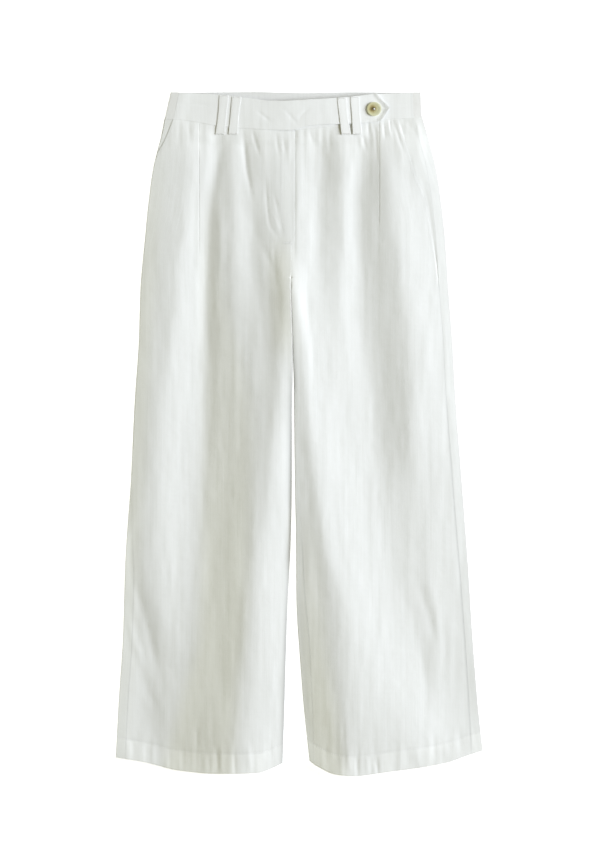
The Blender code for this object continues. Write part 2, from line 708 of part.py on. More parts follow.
# ---------------------------------------------------------------- button
def add_button(finish):
    """A turned button with a raised rim, a dished middle and four thread holes."""
    rim_in = BUTTON_R - BUTTON_RIM_W
    profile = (
        (0, 0),
        (BUTTON_R - 2 * BUTTON_CHAMFER, 0),
        (BUTTON_R, BUTTON_CHAMFER),
        (BUTTON_R, BUTTON_RIM_H - BUTTON_ROUND),
        (BUTTON_R - BUTTON_ROUND, BUTTON_RIM_H),
        (rim_in, BUTTON_RIM_H),
        (rim_in - BUTTON_SLOPE, BUTTON_DISH_H),
        (0, BUTTON_DISH_H),
    )
    bm = bmesh.new()
    line = [bm.verts.new(Vector((r, 0, z)) * MM) for r, z in profile]
    edges = [bm.edges.new(pair) for pair in zip(line, line[1:])]
    bmesh.ops.spin(bm, geom=line + edges, cent=(0, 0, 0), axis=(0, 0, 1), angle=2 * math.pi,
                   steps=BUTTON_SIDES, use_merge=True)
    bmesh.ops.remove_doubles(bm, verts=bm.verts, dist=0.01 * MM)
    bmesh.ops.recalc_face_normals(bm, faces=bm.faces)
    mesh = bpy.data.meshes.new("button")
    bm.to_mesh(mesh)
    bm.free()
    button = add_object("button", mesh, finish)
    for quarter in range(4):
        angle = math.pi / 4 + quarter * math.pi / 2
        place = Vector((math.cos(angle), math.sin(angle), 0)) * BUTTON_HOLE_OUT * MM
        bore = bpy.data.meshes.new("thread_hole")
        bm = bmesh.new()
        radius = BUTTON_HOLE_R * MM
        bmesh.ops.create_cone(bm, cap_ends=True, segments=8, radius1=radius, radius2=radius,
                              depth=4 * BUTTON_RIM_H * MM, matrix=Matrix.Translation(place))
        bm.to_mesh(bore)
        bm.free()
        cutter = bpy.data.objects.new("thread_hole_cutter", bore)
        bpy.context.scene.collection.objects.link(cutter)
        cutter.hide_render = True
        cutter.display_type = "WIRE"
        cutter.parent = button
        cut = button.modifiers.new("thread hole", "BOOLEAN")
        cut.operation = "DIFFERENCE"
        cut.object = cutter
    x, drop = BUTTON_AT
    reach = BUTTON_R
    lean = (cover_height(x + reach, drop) - cover_height(x - reach, drop)) / (2 * reach)
    pitch = (cover_height(x, drop - reach) - cover_height(x, drop + reach)) / (2 * reach)
    height = cover_height(x, drop) + GAP + BUTTON_LIFT
    button.location = Vector((x, LENGTH / 2 - drop, height)) * MM
    normal = Vector((-lean, -pitch, 1)).normalized()
    button.rotation_euler = Vector((0, 0, 1)).rotation_difference(normal).to_euler()
    mesh.shade_smooth()
    mesh.set_sharp_from_angle(angle=math.radians(35))


# ---------------------------------------------------------------- the whole garment
def build():
    for obj in list(bpy.data.objects):
        bpy.data.objects.remove(obj, do_unlink=True)
    front = material("front_linen", (0.86, 0.87, 0.85), 0.85)
    back = material("back_linen", (0.82, 0.83, 0.80), 0.85)
    band = material("band_linen", (0.88, 0.89, 0.87), 0.82)
    loops = material("loop_linen", (0.87, 0.88, 0.86), 0.82)
    lining = material("facing_linen", (0.80, 0.81, 0.78), 0.85)
    horn = material("horn", (0.33, 0.24, 0.12), 0.35)
    panel("back_panel_right", RIGHT, back_row, BACK_SEAM, back)
    panel("back_panel_left", LEFT, back_row, BACK_SEAM, back)
    panel("front_panel_right", RIGHT, front_row, FRONT_SEAM, front)
    panel("front_panel_left", LEFT, front_row, FRONT_SEAM, front)
    panel("pocket_facing_right", RIGHT, facing_row, FRONT_SEAM, lining, POCKET_END_RIGHT)
    panel("pocket_facing_left", LEFT, facing_row, FRONT_SEAM, lining, POCKET_END_LEFT)
    add_waistband(band)
    for name, top_x, bottom_x in BELT_LOOPS:
        belt_loop(name, top_x, bottom_x, loops)
    add_button(horn)


build()
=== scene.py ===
# %% [markdown]
# # White linen trousers, laid flat
# The trousers lie on a table with the front up: the back panels flat on the table, the fronts over them
# in soft folds, the waistband across the top and wide hems at the foot. The sizes come from the packed
# CAD model, which is loaded first and never moved.

# %% Load the frame
import math

import bpy
import bmesh
import numpy as np
from mathutils import Matrix, Vector
from mathutils.bvhtree import BVHTree


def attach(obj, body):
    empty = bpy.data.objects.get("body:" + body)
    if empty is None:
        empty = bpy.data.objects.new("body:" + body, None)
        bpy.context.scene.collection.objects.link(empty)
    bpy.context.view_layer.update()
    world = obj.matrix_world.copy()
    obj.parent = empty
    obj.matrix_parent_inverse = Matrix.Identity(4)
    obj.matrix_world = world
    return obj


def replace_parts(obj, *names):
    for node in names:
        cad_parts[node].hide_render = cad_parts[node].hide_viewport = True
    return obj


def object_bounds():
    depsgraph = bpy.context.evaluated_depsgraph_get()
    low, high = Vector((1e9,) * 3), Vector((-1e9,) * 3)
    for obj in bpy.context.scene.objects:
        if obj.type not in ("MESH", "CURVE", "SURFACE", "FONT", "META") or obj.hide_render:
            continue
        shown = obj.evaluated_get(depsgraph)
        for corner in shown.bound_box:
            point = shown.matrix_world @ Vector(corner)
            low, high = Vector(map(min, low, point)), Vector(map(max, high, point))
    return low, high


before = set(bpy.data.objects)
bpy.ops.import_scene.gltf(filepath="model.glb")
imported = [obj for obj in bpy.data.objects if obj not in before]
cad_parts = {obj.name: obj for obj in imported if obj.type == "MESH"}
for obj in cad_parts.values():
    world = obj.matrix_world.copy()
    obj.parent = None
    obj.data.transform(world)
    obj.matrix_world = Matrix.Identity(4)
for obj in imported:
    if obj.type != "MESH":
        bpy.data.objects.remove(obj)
cad_low, cad_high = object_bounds()
bpy.ops.object.select_all(action="DESELECT")
MM = 0.001
LENGTH = round((cad_high.y - cad_low.y) / MM, 1)
print("CAD box", [round(v, 4) for v in (*cad_low, *cad_high)], "length", LENGTH, "mm")

# %% [markdown]
# ## Measuring like a cutter
# A place on the garment is given by X, in millimetres from the middle, and by its drop, in millimetres
# down from the top of the back waistband. Tables of a few places, joined by curves that never overshoot,
# say where the edges and seams run. A drawn spline would do as well, but a table can be read and checked.

# %% Curves through tables
def smooth_curve(xs, ys, x):
    """Monotone cubic through the points (xs, ys): it never overshoots a crest or a valley."""
    xs, ys = np.asarray(xs, float), np.asarray(ys, float)
    x = np.clip(np.asarray(x, float), xs[0], xs[-1])
    step = np.diff(xs)
    secant = np.diff(ys) / step
    slope = np.zeros(len(xs))
    slope[0], slope[-1] = secant[0], secant[-1]
    w1, w2 = 2 * step[1:] + step[:-1], step[1:] + 2 * step[:-1]
    same = secant[:-1] * secant[1:] > 0
    safe = np.where(same, secant[:-1], 1.0), np.where(same, secant[1:], 1.0)
    slope[1:-1] = np.where(same, (w1 + w2) / (w1 / safe[0] + w2 / safe[1]), 0.0)
    i = np.clip(np.searchsorted(xs, x, side="right") - 1, 0, len(xs) - 2)
    t = (x - xs[i]) / step[i]
    return (ys[i] * (1 + 2 * t) * (1 - t) ** 2 + step[i] * slope[i] * t * (1 - t) ** 2
            + ys[i + 1] * t * t * (3 - 2 * t) - step[i] * slope[i + 1] * t * t * (1 - t))


def column(table, index, at):
    return smooth_curve([row[0] for row in table], [row[index] for row in table], at)


def ramp(x, start, end):
    """0 before start, 1 after end, soft between."""
    t = np.clip((np.asarray(x, float) - start) / (end - start), 0.0, 1.0)
    return t * t * (3 - 2 * t)


def split(start, end, cells):
    return np.linspace(start, end, cells + 1)


RIGHT, LEFT = -1, 1         # the wearer's sides, and the sign of X there
CENTRE_X = -12.0            # the rise seam
# Outer edges: drop, wearer's right edge, wearer's left edge (X).
OUTLINE = (
    (0, -182.5, 172.5), (33, -189.6, 173.6), (67, -196.7, 182.5), (111, -208.0, 194.5),
    (153, -213.7, 201.0), (210, -219.4, 207.3), (281, -225.7, 212.0), (352, -227.9, 217.3),
    (437, -233.6, 222.2), (551, -239.3, 230.8), (665, -247.0, 239.3), (778, -250.6, 246.4),
    (863, -256.3, 253.0), (960, -260.6, 260.6),
)
# Inner edges of the legs: drop, right leg, left leg (X).
INSEAMS = (
    (0, CENTRE_X, CENTRE_X), (240, CENTRE_X, CENTRE_X), (281, -12.2, -11.8), (340, -10.5, -10.1),
    (380, -9.5, -9.1), (409, -9.8, -8.2), (466, -10.9, -7.5), (560, -11.0, -6.4), (636, -12.4, -5.0),
    (721, -16.3, -4.4), (807, -19.2, 0.7), (863, -20.6, 5.0),
    (960, -23.5, 13.8),
)
# Seams showing on the front: drop, then distance in from right side, right inseam, left inseam, left side.
SEAM_INSETS = (
    (0, 0.0, 0.0, 0.0, 14.0), (466, 0.0, 0.0, 0.0, 14.0), (551, 2.0, 0.0, 3.0, 14.0),
    (600, 5.0, 0.0, 6.0, 14.0), (696, 13.0, 0.0, 11.0, 13.0), (778, 13.0, 0.0, 15.0, 12.0),
    (860, 13.0, 0.0, 13.0, 13.0), (960, 13.0, 0.0, 7.0, 16.0),
)
# Slanted pocket edges: drop, distance in from the side edge.
POCKETS = {
    RIGHT: ((40, 13.5), (70, 7.0), (99, 0.0), (960, 0.0)),
    LEFT: ((40, 36.0), (108, 34.0), (153, 24.0), (217, 19.0), (250, 16.0), (281, 14.0), (960, 0.0)),
}
print("outline rows", len(OUTLINE), "seam rows", len(SEAM_INSETS))

# %% [markdown]
# ## The long folds
# Laid linen keeps the folds it was hung in. Each fold is a line down the leg with a height over the
# table, given where chosen cross sections meet it. Between the lines the cloth swings softly from crest to
# valley. Cloth simulation could find such folds too, but not these ones, so they are listed.

# %% Fold tables
# Each row: drop, height at the outer end, (X, height) of each fold line, height at the inner end.
# Right half, from the side inwards: edge dip, outer crest, slope, pleat valley, shoulder, thigh crest,
# thigh valley, rise, inner crest.
RIGHT_FOLDS = (
    (0, 10.9, (-165, 11.1), (-150, 10.3), (-132, 9.9), (-120, 9.9), (-108, 10.1), (-95, 10.2),
     (-75, 10.4), (-50, 10.6), (-28, 10.6), 10.6),
    (41, 10.8, (-176, 11.0), (-158, 10.0), (-130, 9.4), (-115, 9.3), (-104, 9.3), (-94, 9.4), (-78, 9.5),
     (-52, 10.0), (-28, 9.5), 9.3),
    (60, 10.9, (-178, 11.0), (-160, 10.6), (-132, 9.3), (-114, 7.2), (-104, 7.7), (-94, 7.9), (-78, 7.6),
     (-52, 8.7), (-28, 9.0), 8.9),
    (75, 10.4, (-182, 10.6), (-162, 10.2), (-132, 7.4), (-114, 5.5), (-104, 6.2), (-96, 6.8), (-78, 5.9),
     (-50, 7.6), (-28, 8.0), 7.8),
    (110, 10.0, (-190, 10.2), (-165, 10.2), (-135, 7.4), (-119, 5.0), (-107, 6.3), (-96, 7.2),
     (-76, 6.2), (-52, 7.8), (-26, 8.8), 8.5),
    (153, 10.0, (-200, 10.1), (-167, 10.0), (-142, 7.0), (-126, 5.1), (-112, 6.9), (-93, 8.4),
     (-75, 7.4), (-45, 8.8), (-25, 10.2), 10.1),
    (195, 10.0, (-195, 10.6), (-168, 10.9), (-146, 7.7), (-130, 5.3), (-110, 8.5), (-93, 9.3),
     (-70, 7.8), (-45, 9.9), (-20, 11.5), 11.6),
    (238, 10.0, (-202, 11.0), (-178, 11.4), (-147, 7.0), (-131, 4.4), (-110, 8.0), (-92, 9.3),
     (-71, 8.2), (-46, 10.4), (-18, 13.7), 13.8),
    (270, 10.0, (-206, 10.9), (-182, 11.5), (-150, 7.0), (-133, 3.7), (-112, 7.0), (-86, 9.0),
     (-68, 8.6), (-45, 11.2), (-18, 15.9), 16.2),
    (300, 10.0, (-208, 10.8), (-181, 11.2), (-150, 6.2), (-134, 3.2), (-114, 6.4), (-86, 9.2),
     (-66, 9.6), (-46, 11.6), (-20, 16.9), 17.6),
    (351, 10.0, (-212, 10.9), (-188, 11.3), (-150, 5.3), (-134, 3.0), (-112, 6.5), (-86, 9.3),
     (-66, 10.8), (-46, 12.6), (-20, 16.6), 16.8),
    (390, 10.6, (-215, 11.3), (-193, 11.4), (-150, 4.6), (-134, 3.0), (-111, 6.1), (-88, 8.6),
     (-66, 11.0), (-46, 12.5), (-24, 14.9), 14.6),
    (430, 10.8, (-220, 11.6), (-200, 12.2), (-152, 4.8), (-136, 3.0), (-112, 6.0), (-88, 9.1),
     (-66, 11.8), (-46, 13.9), (-29, 15.5), 14.4),
    (510, 10.8, (-225, 11.3), (-208, 12.2), (-154, 4.8), (-137, 3.3), (-112, 6.0), (-88, 9.1),
     (-69, 11.9), (-52, 13.9), (-39, 14.8), 10.7),
    (578, 10.8, (-229, 11.3), (-210, 11.7), (-160, 4.8), (-141, 3.2), (-115, 5.6), (-90, 9.2),
     (-70, 12.1), (-57, 13.5), (-47, 14.0), 9.3),
    (650, 10.5, (-238, 9.6), (-212, 10.6), (-166, 5.4), (-147, 4.0), (-122, 5.3), (-98, 8.7),
     (-78, 11.5), (-66, 12.9), (-59, 13.2), 6.9),
    (720, 10.0, (-229, 9.0), (-205, 10.2), (-174, 7.6), (-153, 6.6), (-130, 7.7), (-106, 10.8),
     (-86, 13.8), (-74, 15.4), (-65, 15.8), 9.2),
    (770, 10.0, (-226, 7.4), (-192, 8.4), (-176, 7.8), (-158, 7.1), (-133, 8.6), (-108, 11.5),
     (-88, 14.4), (-78, 15.9), (-69, 16.3), 9.4),
    (820, 10.0, (-212, 6.5), (-188, 6.4), (-176, 6.5), (-165, 6.6), (-138, 8.6), (-110, 11.4),
     (-90, 14.5), (-79, 15.7), (-72, 16.0), 9.0),
    (870, 10.0, (-215, 5.7), (-190, 6.5), (-176, 7.0), (-165, 7.4), (-137, 9.7), (-110, 12.6),
     (-95, 14.1), (-86, 15.0), (-77, 15.2), 8.0),
    (930, 10.4, (-204, 5.3), (-184, 5.7), (-170, 6.5), (-160, 7.4), (-134, 10.4), (-112, 13.6),
     (-98, 15.2), (-92, 15.5), (-86, 15.6), 6.9),
    (960, 9.8, (-204, 6.8), (-184, 7.6), (-170, 8.5), (-160, 9.4), (-134, 11.8), (-112, 13.8),
     (-98, 15.3), (-92, 15.5), (-86, 15.3), 7.1),
)
# Left half, from the centre outwards: inner slope, centre crest, slope, front valley, front crest,
# pleat valley, outer crest, outer shoulder.
LEFT_FOLDS = (
    (0, 10.6, (-7, 10.6), (-2, 10.5), (12, 10.4), (28, 10.3), (58, 10.1), (92, 9.6), (120, 9.2),
     (145, 10.4), 12.0),
    (41, 9.3, (-7, 9.3), (-2, 9.3), (12, 9.3), (28, 9.4), (58, 9.8), (90, 9.9), (122, 10.4), (150, 11.6),
     12.4),
    (60, 8.9, (-6, 8.9), (-1, 8.9), (12, 8.4), (28, 8.0), (58, 10.2), (96, 10.3), (117, 11.8),
     (152, 12.9), 12.6),
    (75, 7.8, (-6, 7.8), (-1, 7.7), (12, 7.0), (28, 6.0), (59, 9.8), (88, 8.9), (122, 12.2), (155, 13.8),
     11.6),
    (110, 8.5, (-6, 8.2), (0, 8.0), (14, 6.8), (30, 5.8), (62, 9.9), (84, 8.3), (131, 14.0), (160, 14.3),
     11.8),
    (153, 10.1, (-8, 10.0), (-3, 9.9), (12, 8.3), (27, 6.8), (60, 9.6), (79, 7.9), (135, 15.4),
     (170, 14.2), 12.5),
    (195, 11.6, (-10, 11.6), (-7, 11.5), (10, 10.0), (29, 7.9), (60, 10.3), (78, 8.2), (140, 15.8),
     (172, 14.2), 12.5),
    (238, 13.8, (-10, 13.7), (-8, 13.5), (10, 11.3), (30, 9.1), (57, 10.2), (82, 7.8), (147, 15.9),
     (175, 14.4), 12.5),
    (270, 16.2, (-10, 16.1), (-8, 15.9), (12, 12.0), (34, 9.8), (55, 10.3), (85, 7.6), (149, 15.8),
     (178, 14.5), 12.5),
    (300, 17.6, (-8, 17.5), (-5, 17.4), (12, 13.6), (38, 11.2), (54, 11.0), (86, 7.9), (155, 15.7),
     (182, 14.2), 12.5),
    (351, 16.6, (-6, 16.6), (1, 16.6), (20, 13.1), (42, 10.9), (64, 9.3), (90, 6.8), (162, 15.2),
     (190, 14.0), 12.5),
    (390, 15.0, (-4, 15.3), (3, 15.7), (23, 12.8), (45, 10.6), (68, 8.7), (95, 6.4), (167, 15.0),
     (192, 14.0), 12.6),
    (430, 14.0, (-1, 14.8), (7, 15.2), (27, 13.1), (48, 10.5), (72, 8.2), (102, 6.2), (166, 14.6),
     (195, 13.7), 12.1),
    (470, 13.9, (3, 15.0), (13, 15.6), (33, 13.4), (53, 10.8), (76, 8.5), (106, 6.8), (164, 14.4),
     (198, 13.4), 12.1),
    (510, 13.3, (5, 14.6), (18, 16.0), (38, 14.1), (58, 11.2), (82, 8.7), (109, 7.1), (166, 13.7),
     (200, 13.2), 12.1),
    (578, 13.4, (11, 15.2), (27, 17.3), (50, 15.4), (70, 12.9), (94, 10.4), (115, 9.3), (170, 12.4),
     (204, 12.6), 12.1),
    (650, 13.3, (17, 16.2), (38, 19.0), (60, 17.2), (82, 14.4), (106, 11.9), (130, 10.5), (184, 12.3),
     (204, 12.6), 12.1),
    (720, 12.3, (26, 15.8), (59, 19.2), (82, 17.1), (104, 14.3), (126, 12.1), (150, 11.0), (192, 12.2),
     (217, 12.1), 12.4),
    (770, 11.3, (32, 16.1), (66, 19.9), (90, 18.0), (114, 15.2), (138, 12.8), (168, 11.2), (203, 12.2),
     (218, 12.0), 12.4),
    (820, 11.3, (36, 16.3), (70, 19.8), (98, 18.2), (125, 15.4), (150, 13.0), (180, 11.0), (200, 11.2),
     (219, 10.8), 11.6),
    (870, 11.2, (41, 16.3), (76, 19.4), (104, 18.1), (134, 16.2), (160, 14.2), (190, 11.5), (206, 10.6),
     (224, 10.2), 10.6),
    (930, 10.4, (52, 15.5), (72, 18.3), (104, 17.9), (148, 16.9), (171, 15.7), (191, 14.0), (209, 12.5),
     (226, 11.9), 11.3),
    (960, 10.2, (41, 15.3), (68, 18.4), (96, 16.8), (124, 15.1), (152, 13.8), (176, 12.8), (196, 12.0),
     (218, 11.4), 10.8),
)


def fold_knots(table, drop):
    """(X, height) of each fold line of one half at a drop; the plain numbers are edge heights."""
    drops = [row[0] for row in table]
    knots = []
    for index in range(1, len(table[0])):
        cells = [row[index] for row in table]
        if isinstance(cells[0], tuple):
            x = smooth_curve(drops, [cell[0] for cell in cells], drop)
            z = smooth_curve(drops, [cell[1] for cell in cells], drop)
            knots.append((float(x), float(z)))
        else:
            knots.append((None, float(smooth_curve(drops, cells, drop))))
    return knots


def side_edge(side, drop):
    return float(column(OUTLINE, 1 if side == RIGHT else 2, drop))


def inner_edge(side, drop):
    return float(column(INSEAMS, 1 if side == RIGHT else 2, drop))


CROTCH = 281.0              # drop of the crotch point
KNOTS = {}


def front_height(x, drop, side):
    """Height of the front's outer face at X, before its edges roll down."""
    key = (round(drop, 3), side if drop >= CROTCH else 0)
    if key not in KNOTS:
        right, left = fold_knots(RIGHT_FOLDS, drop), fold_knots(LEFT_FOLDS, drop)
        right[0] = (side_edge(RIGHT, drop), right[0][1])
        right[-1] = (inner_edge(RIGHT, drop), right[-1][1])
        left[0] = (inner_edge(LEFT, drop), left[0][1])
        left[-1] = (side_edge(LEFT, drop), left[-1][1])
        both = right + left[1:]
        KNOTS[key] = np.array(both if drop < CROTCH else right if side == RIGHT else left)
    return smooth_curve(*KNOTS[key].T, x)


print("height at the middle of the right thigh", round(float(front_height(-84, 238.0, RIGHT)), 2), "mm")

# %% [markdown]
# ## Cross sections
# At each drop the garment is cut across in thought. The upper line is the front with its folds, the lower
# line is the back, flat on the table, and both round over at the side. Below the crotch they round over at
# the inner edge as well, so that each leg is its own tube.

# %% Sections and paths
SIDE_MID = 4.5              # height of the edges, where back turns into front
EDGE_ROLL = 0.6             # breadth of the tight roll at the side
INNER_ROLL = 0.6            # and at the inner edge of a leg
ROLL_START = 262.0          # drop where the rise begins to turn in towards the crotch
WALL, GAP, SEAM = 0.32, 0.08, 0.06   # cloth, air between two plies, air in a seam
TURN_REACH = 4.0            # a turn of one radian gets as many points as this length of flat cloth
ROLL_CELLS, FLAT_STEP = 16, 1.5      # points round a rolled edge, and the step between points elsewhere
TINY = 1e-6


class Section:
    """Outer face of one half of the trousers at one drop, in (t, z), t from the side inwards."""

    def __init__(self, side, drop):
        self.side, self.drop = side, drop
        self.edge = side_edge(side, drop)
        self.width = abs(self.edge - inner_edge(side, drop))
        self.turn = np.clip((drop - ROLL_START) / (CROTCH - ROLL_START), 0.0, 1.0) * math.pi / 2

    def x(self, t):
        return self.edge - self.side * np.asarray(t, float)

    def row(self, points, normals):
        """Points and normals in (t, z) as a row of x, z, nx and nz."""
        return self.x(points[:, 0]), points[:, 1], -self.side * normals[:, 0], normals[:, 1]

    def places(self, roll, inner_roll, end):
        """Distances t that follow both rolled edges closely."""
        outer = roll * (1 - np.cos(split(0, math.pi / 2, ROLL_CELLS)))
        start = self.width - inner_roll * math.sin(self.turn)
        inner = start + inner_roll * np.sin(split(0, self.turn, ROLL_CELLS))
        t = np.unique(np.round(np.concatenate([outer, np.arange(roll, start, FLAT_STEP), inner, [end]]), 6))
        return t[t <= end + TINY]

    def roll(self, t, roll, inner_roll):
        """Share of the height kept at t: 0 at a fully rolled edge, 1 away from it."""
        outer = np.sqrt(1 - (1 - np.clip(t / roll, 0, 1)) ** 2)
        start = self.width - inner_roll * math.sin(self.turn)
        into = np.clip((t - start) / inner_roll, 0, math.sin(self.turn))
        return outer * np.sqrt(1 - into ** 2)

    def upper(self, sink=None, end=None):
        t = self.places(EDGE_ROLL, INNER_ROLL, self.width if end is None else end)
        height = front_height(self.x(t), self.drop, self.side)
        if sink is not None:
            height = height - sink(t)
        share = self.roll(t, EDGE_ROLL, INNER_ROLL)
        return np.column_stack([t, SIDE_MID + (height - SIDE_MID) * share])

    def lower(self):
        t = self.places(SIDE_MID, SIDE_MID, self.width)
        return np.column_stack([t, SIDE_MID * (1 - self.roll(t, SIDE_MID, SIDE_MID))])


class Path:
    """A line in (t, z) that can be read by its length, with the face's normal."""

    def __init__(self, points, turn):
        keep = np.r_[True, np.linalg.norm(np.diff(points, axis=0), axis=1) > TINY]
        self.points = points[keep]
        self.length = np.r_[0.0, np.cumsum(np.linalg.norm(np.diff(self.points, axis=0), axis=1))]
        tangent = np.gradient(self.points, self.length, axis=0)
        tangent /= np.linalg.norm(tangent, axis=1)[:, None]
        self.normals = turn * np.column_stack([-tangent[:, 1], tangent[:, 0]])
        bend = np.arccos(np.clip((self.normals[1:] * self.normals[:-1]).sum(axis=1), -1, 1))
        self.weight = self.length + TURN_REACH * np.r_[0.0, np.cumsum(bend)]

    def at(self, s):
        point = np.column_stack([np.interp(s, self.length, self.points[:, k]) for k in (0, 1)])
        normal = np.column_stack([np.interp(s, self.length, self.normals[:, k]) for k in (0, 1)])
        return point, normal / np.linalg.norm(normal, axis=1)[:, None]

    def length_at(self, t):
        return np.interp(t, self.points[:, 0], self.length)

    def spaced(self, start, end, cells):
        """Lengths from start to end, closer together where the line turns."""
        low, high = np.interp([start, end], self.length, self.weight)
        return np.interp(split(low, high, cells), self.weight, self.length)


half = Section(RIGHT, 430.0)
print("right leg at drop 430:", round(half.width, 1), "mm wide")

# %% [markdown]
# ## Lines that the rows follow
# The waist seam and the hems are curved, so a row of cloth near them is bent to the same line. The rows
# between them straighten out.

# %% Waist and hem lines
WAIST_ROW, WAIST_FADE, BAND_OVER = 41.0, 70.0, 3.0     # the band's edge covers the panels by BAND_OVER
BAND_DIP = (0.12, 9.0)      # how far the panels dip under the band, and where they are level again
HEM_ROW, HEM_FADE = 960.0, 90.0
HEM_DEPTH = 28.0            # the hem stitches run this far above the hem's edge
BACK_TOP = ((-190, 1.2), (-60, 0.0), (5, 1.4), (70, 0.2), (180, 1.2))
FRONT_TOP = ((-190, 1.2), (-110, 5.0), (-77, 9.0), (-42, 13.0), (-25, 13.5), (1, 12.0), (72, 8.0),
             (109, 4.0), (180, 1.2))
BACK_SEAM = ((-200, 40.0), (180, 38.0))
FRONT_SEAM = ((-200, 40.0), (-178, 40.0), (-120, 48.0), (-85, 52.0), (-13, 55.0), (43, 50.0), (72, 47.0),
              (114, 41.0), (172, 38.0), (200, 38.0))
HEM_LINES = {
    RIGHT: ((-261, 944), (-221, 951), (-170, 963), (-119, 967), (-59, 966), (-42, 961), (-23, 952)),
    LEFT: ((13, 948), (26, 957), (52, 968), (77, 970), (128, 964), (180, 957), (214, 950), (239, 941),
           (261, 934)),
}


def line_drop(line, x):
    return smooth_curve([p[0] for p in line], [p[1] for p in line], x)


def placed_drop(x, nominal, waist_line, hem_line):
    """Drop of a point: its row's, bent to the waist line at the top and the hem at the bottom."""
    waist = 1 - np.clip((nominal - WAIST_ROW) / WAIST_FADE, 0, 1)
    hem = np.clip((nominal - HEM_ROW) / HEM_FADE + 1, 0, 1)
    shift = waist * (line_drop(waist_line, x) - BAND_OVER - WAIST_ROW)
    return nominal + shift + hem * (line_drop(hem_line, x) - HEM_ROW)


def hem_drop(x):
    """Drop of the hem's edge below X, on whichever leg is there."""
    return np.where(x < CENTRE_X, line_drop(HEM_LINES[RIGHT], x), line_drop(HEM_LINES[LEFT], x))


print("hem of the left leg at its lowest:", float(line_drop(HEM_LINES[LEFT], 77)), "mm down")

# %% [markdown]
# ## Small creases
# On top of the long folds come gathers under the waistband, drag lines at the fly, crinkles at the shins
# and puckers at the hems. Each is one soft ridge or trough along a line of points, with a height and a
# half width. A texture would give bumps that don't stand up at the edge, so these move the cloth itself.

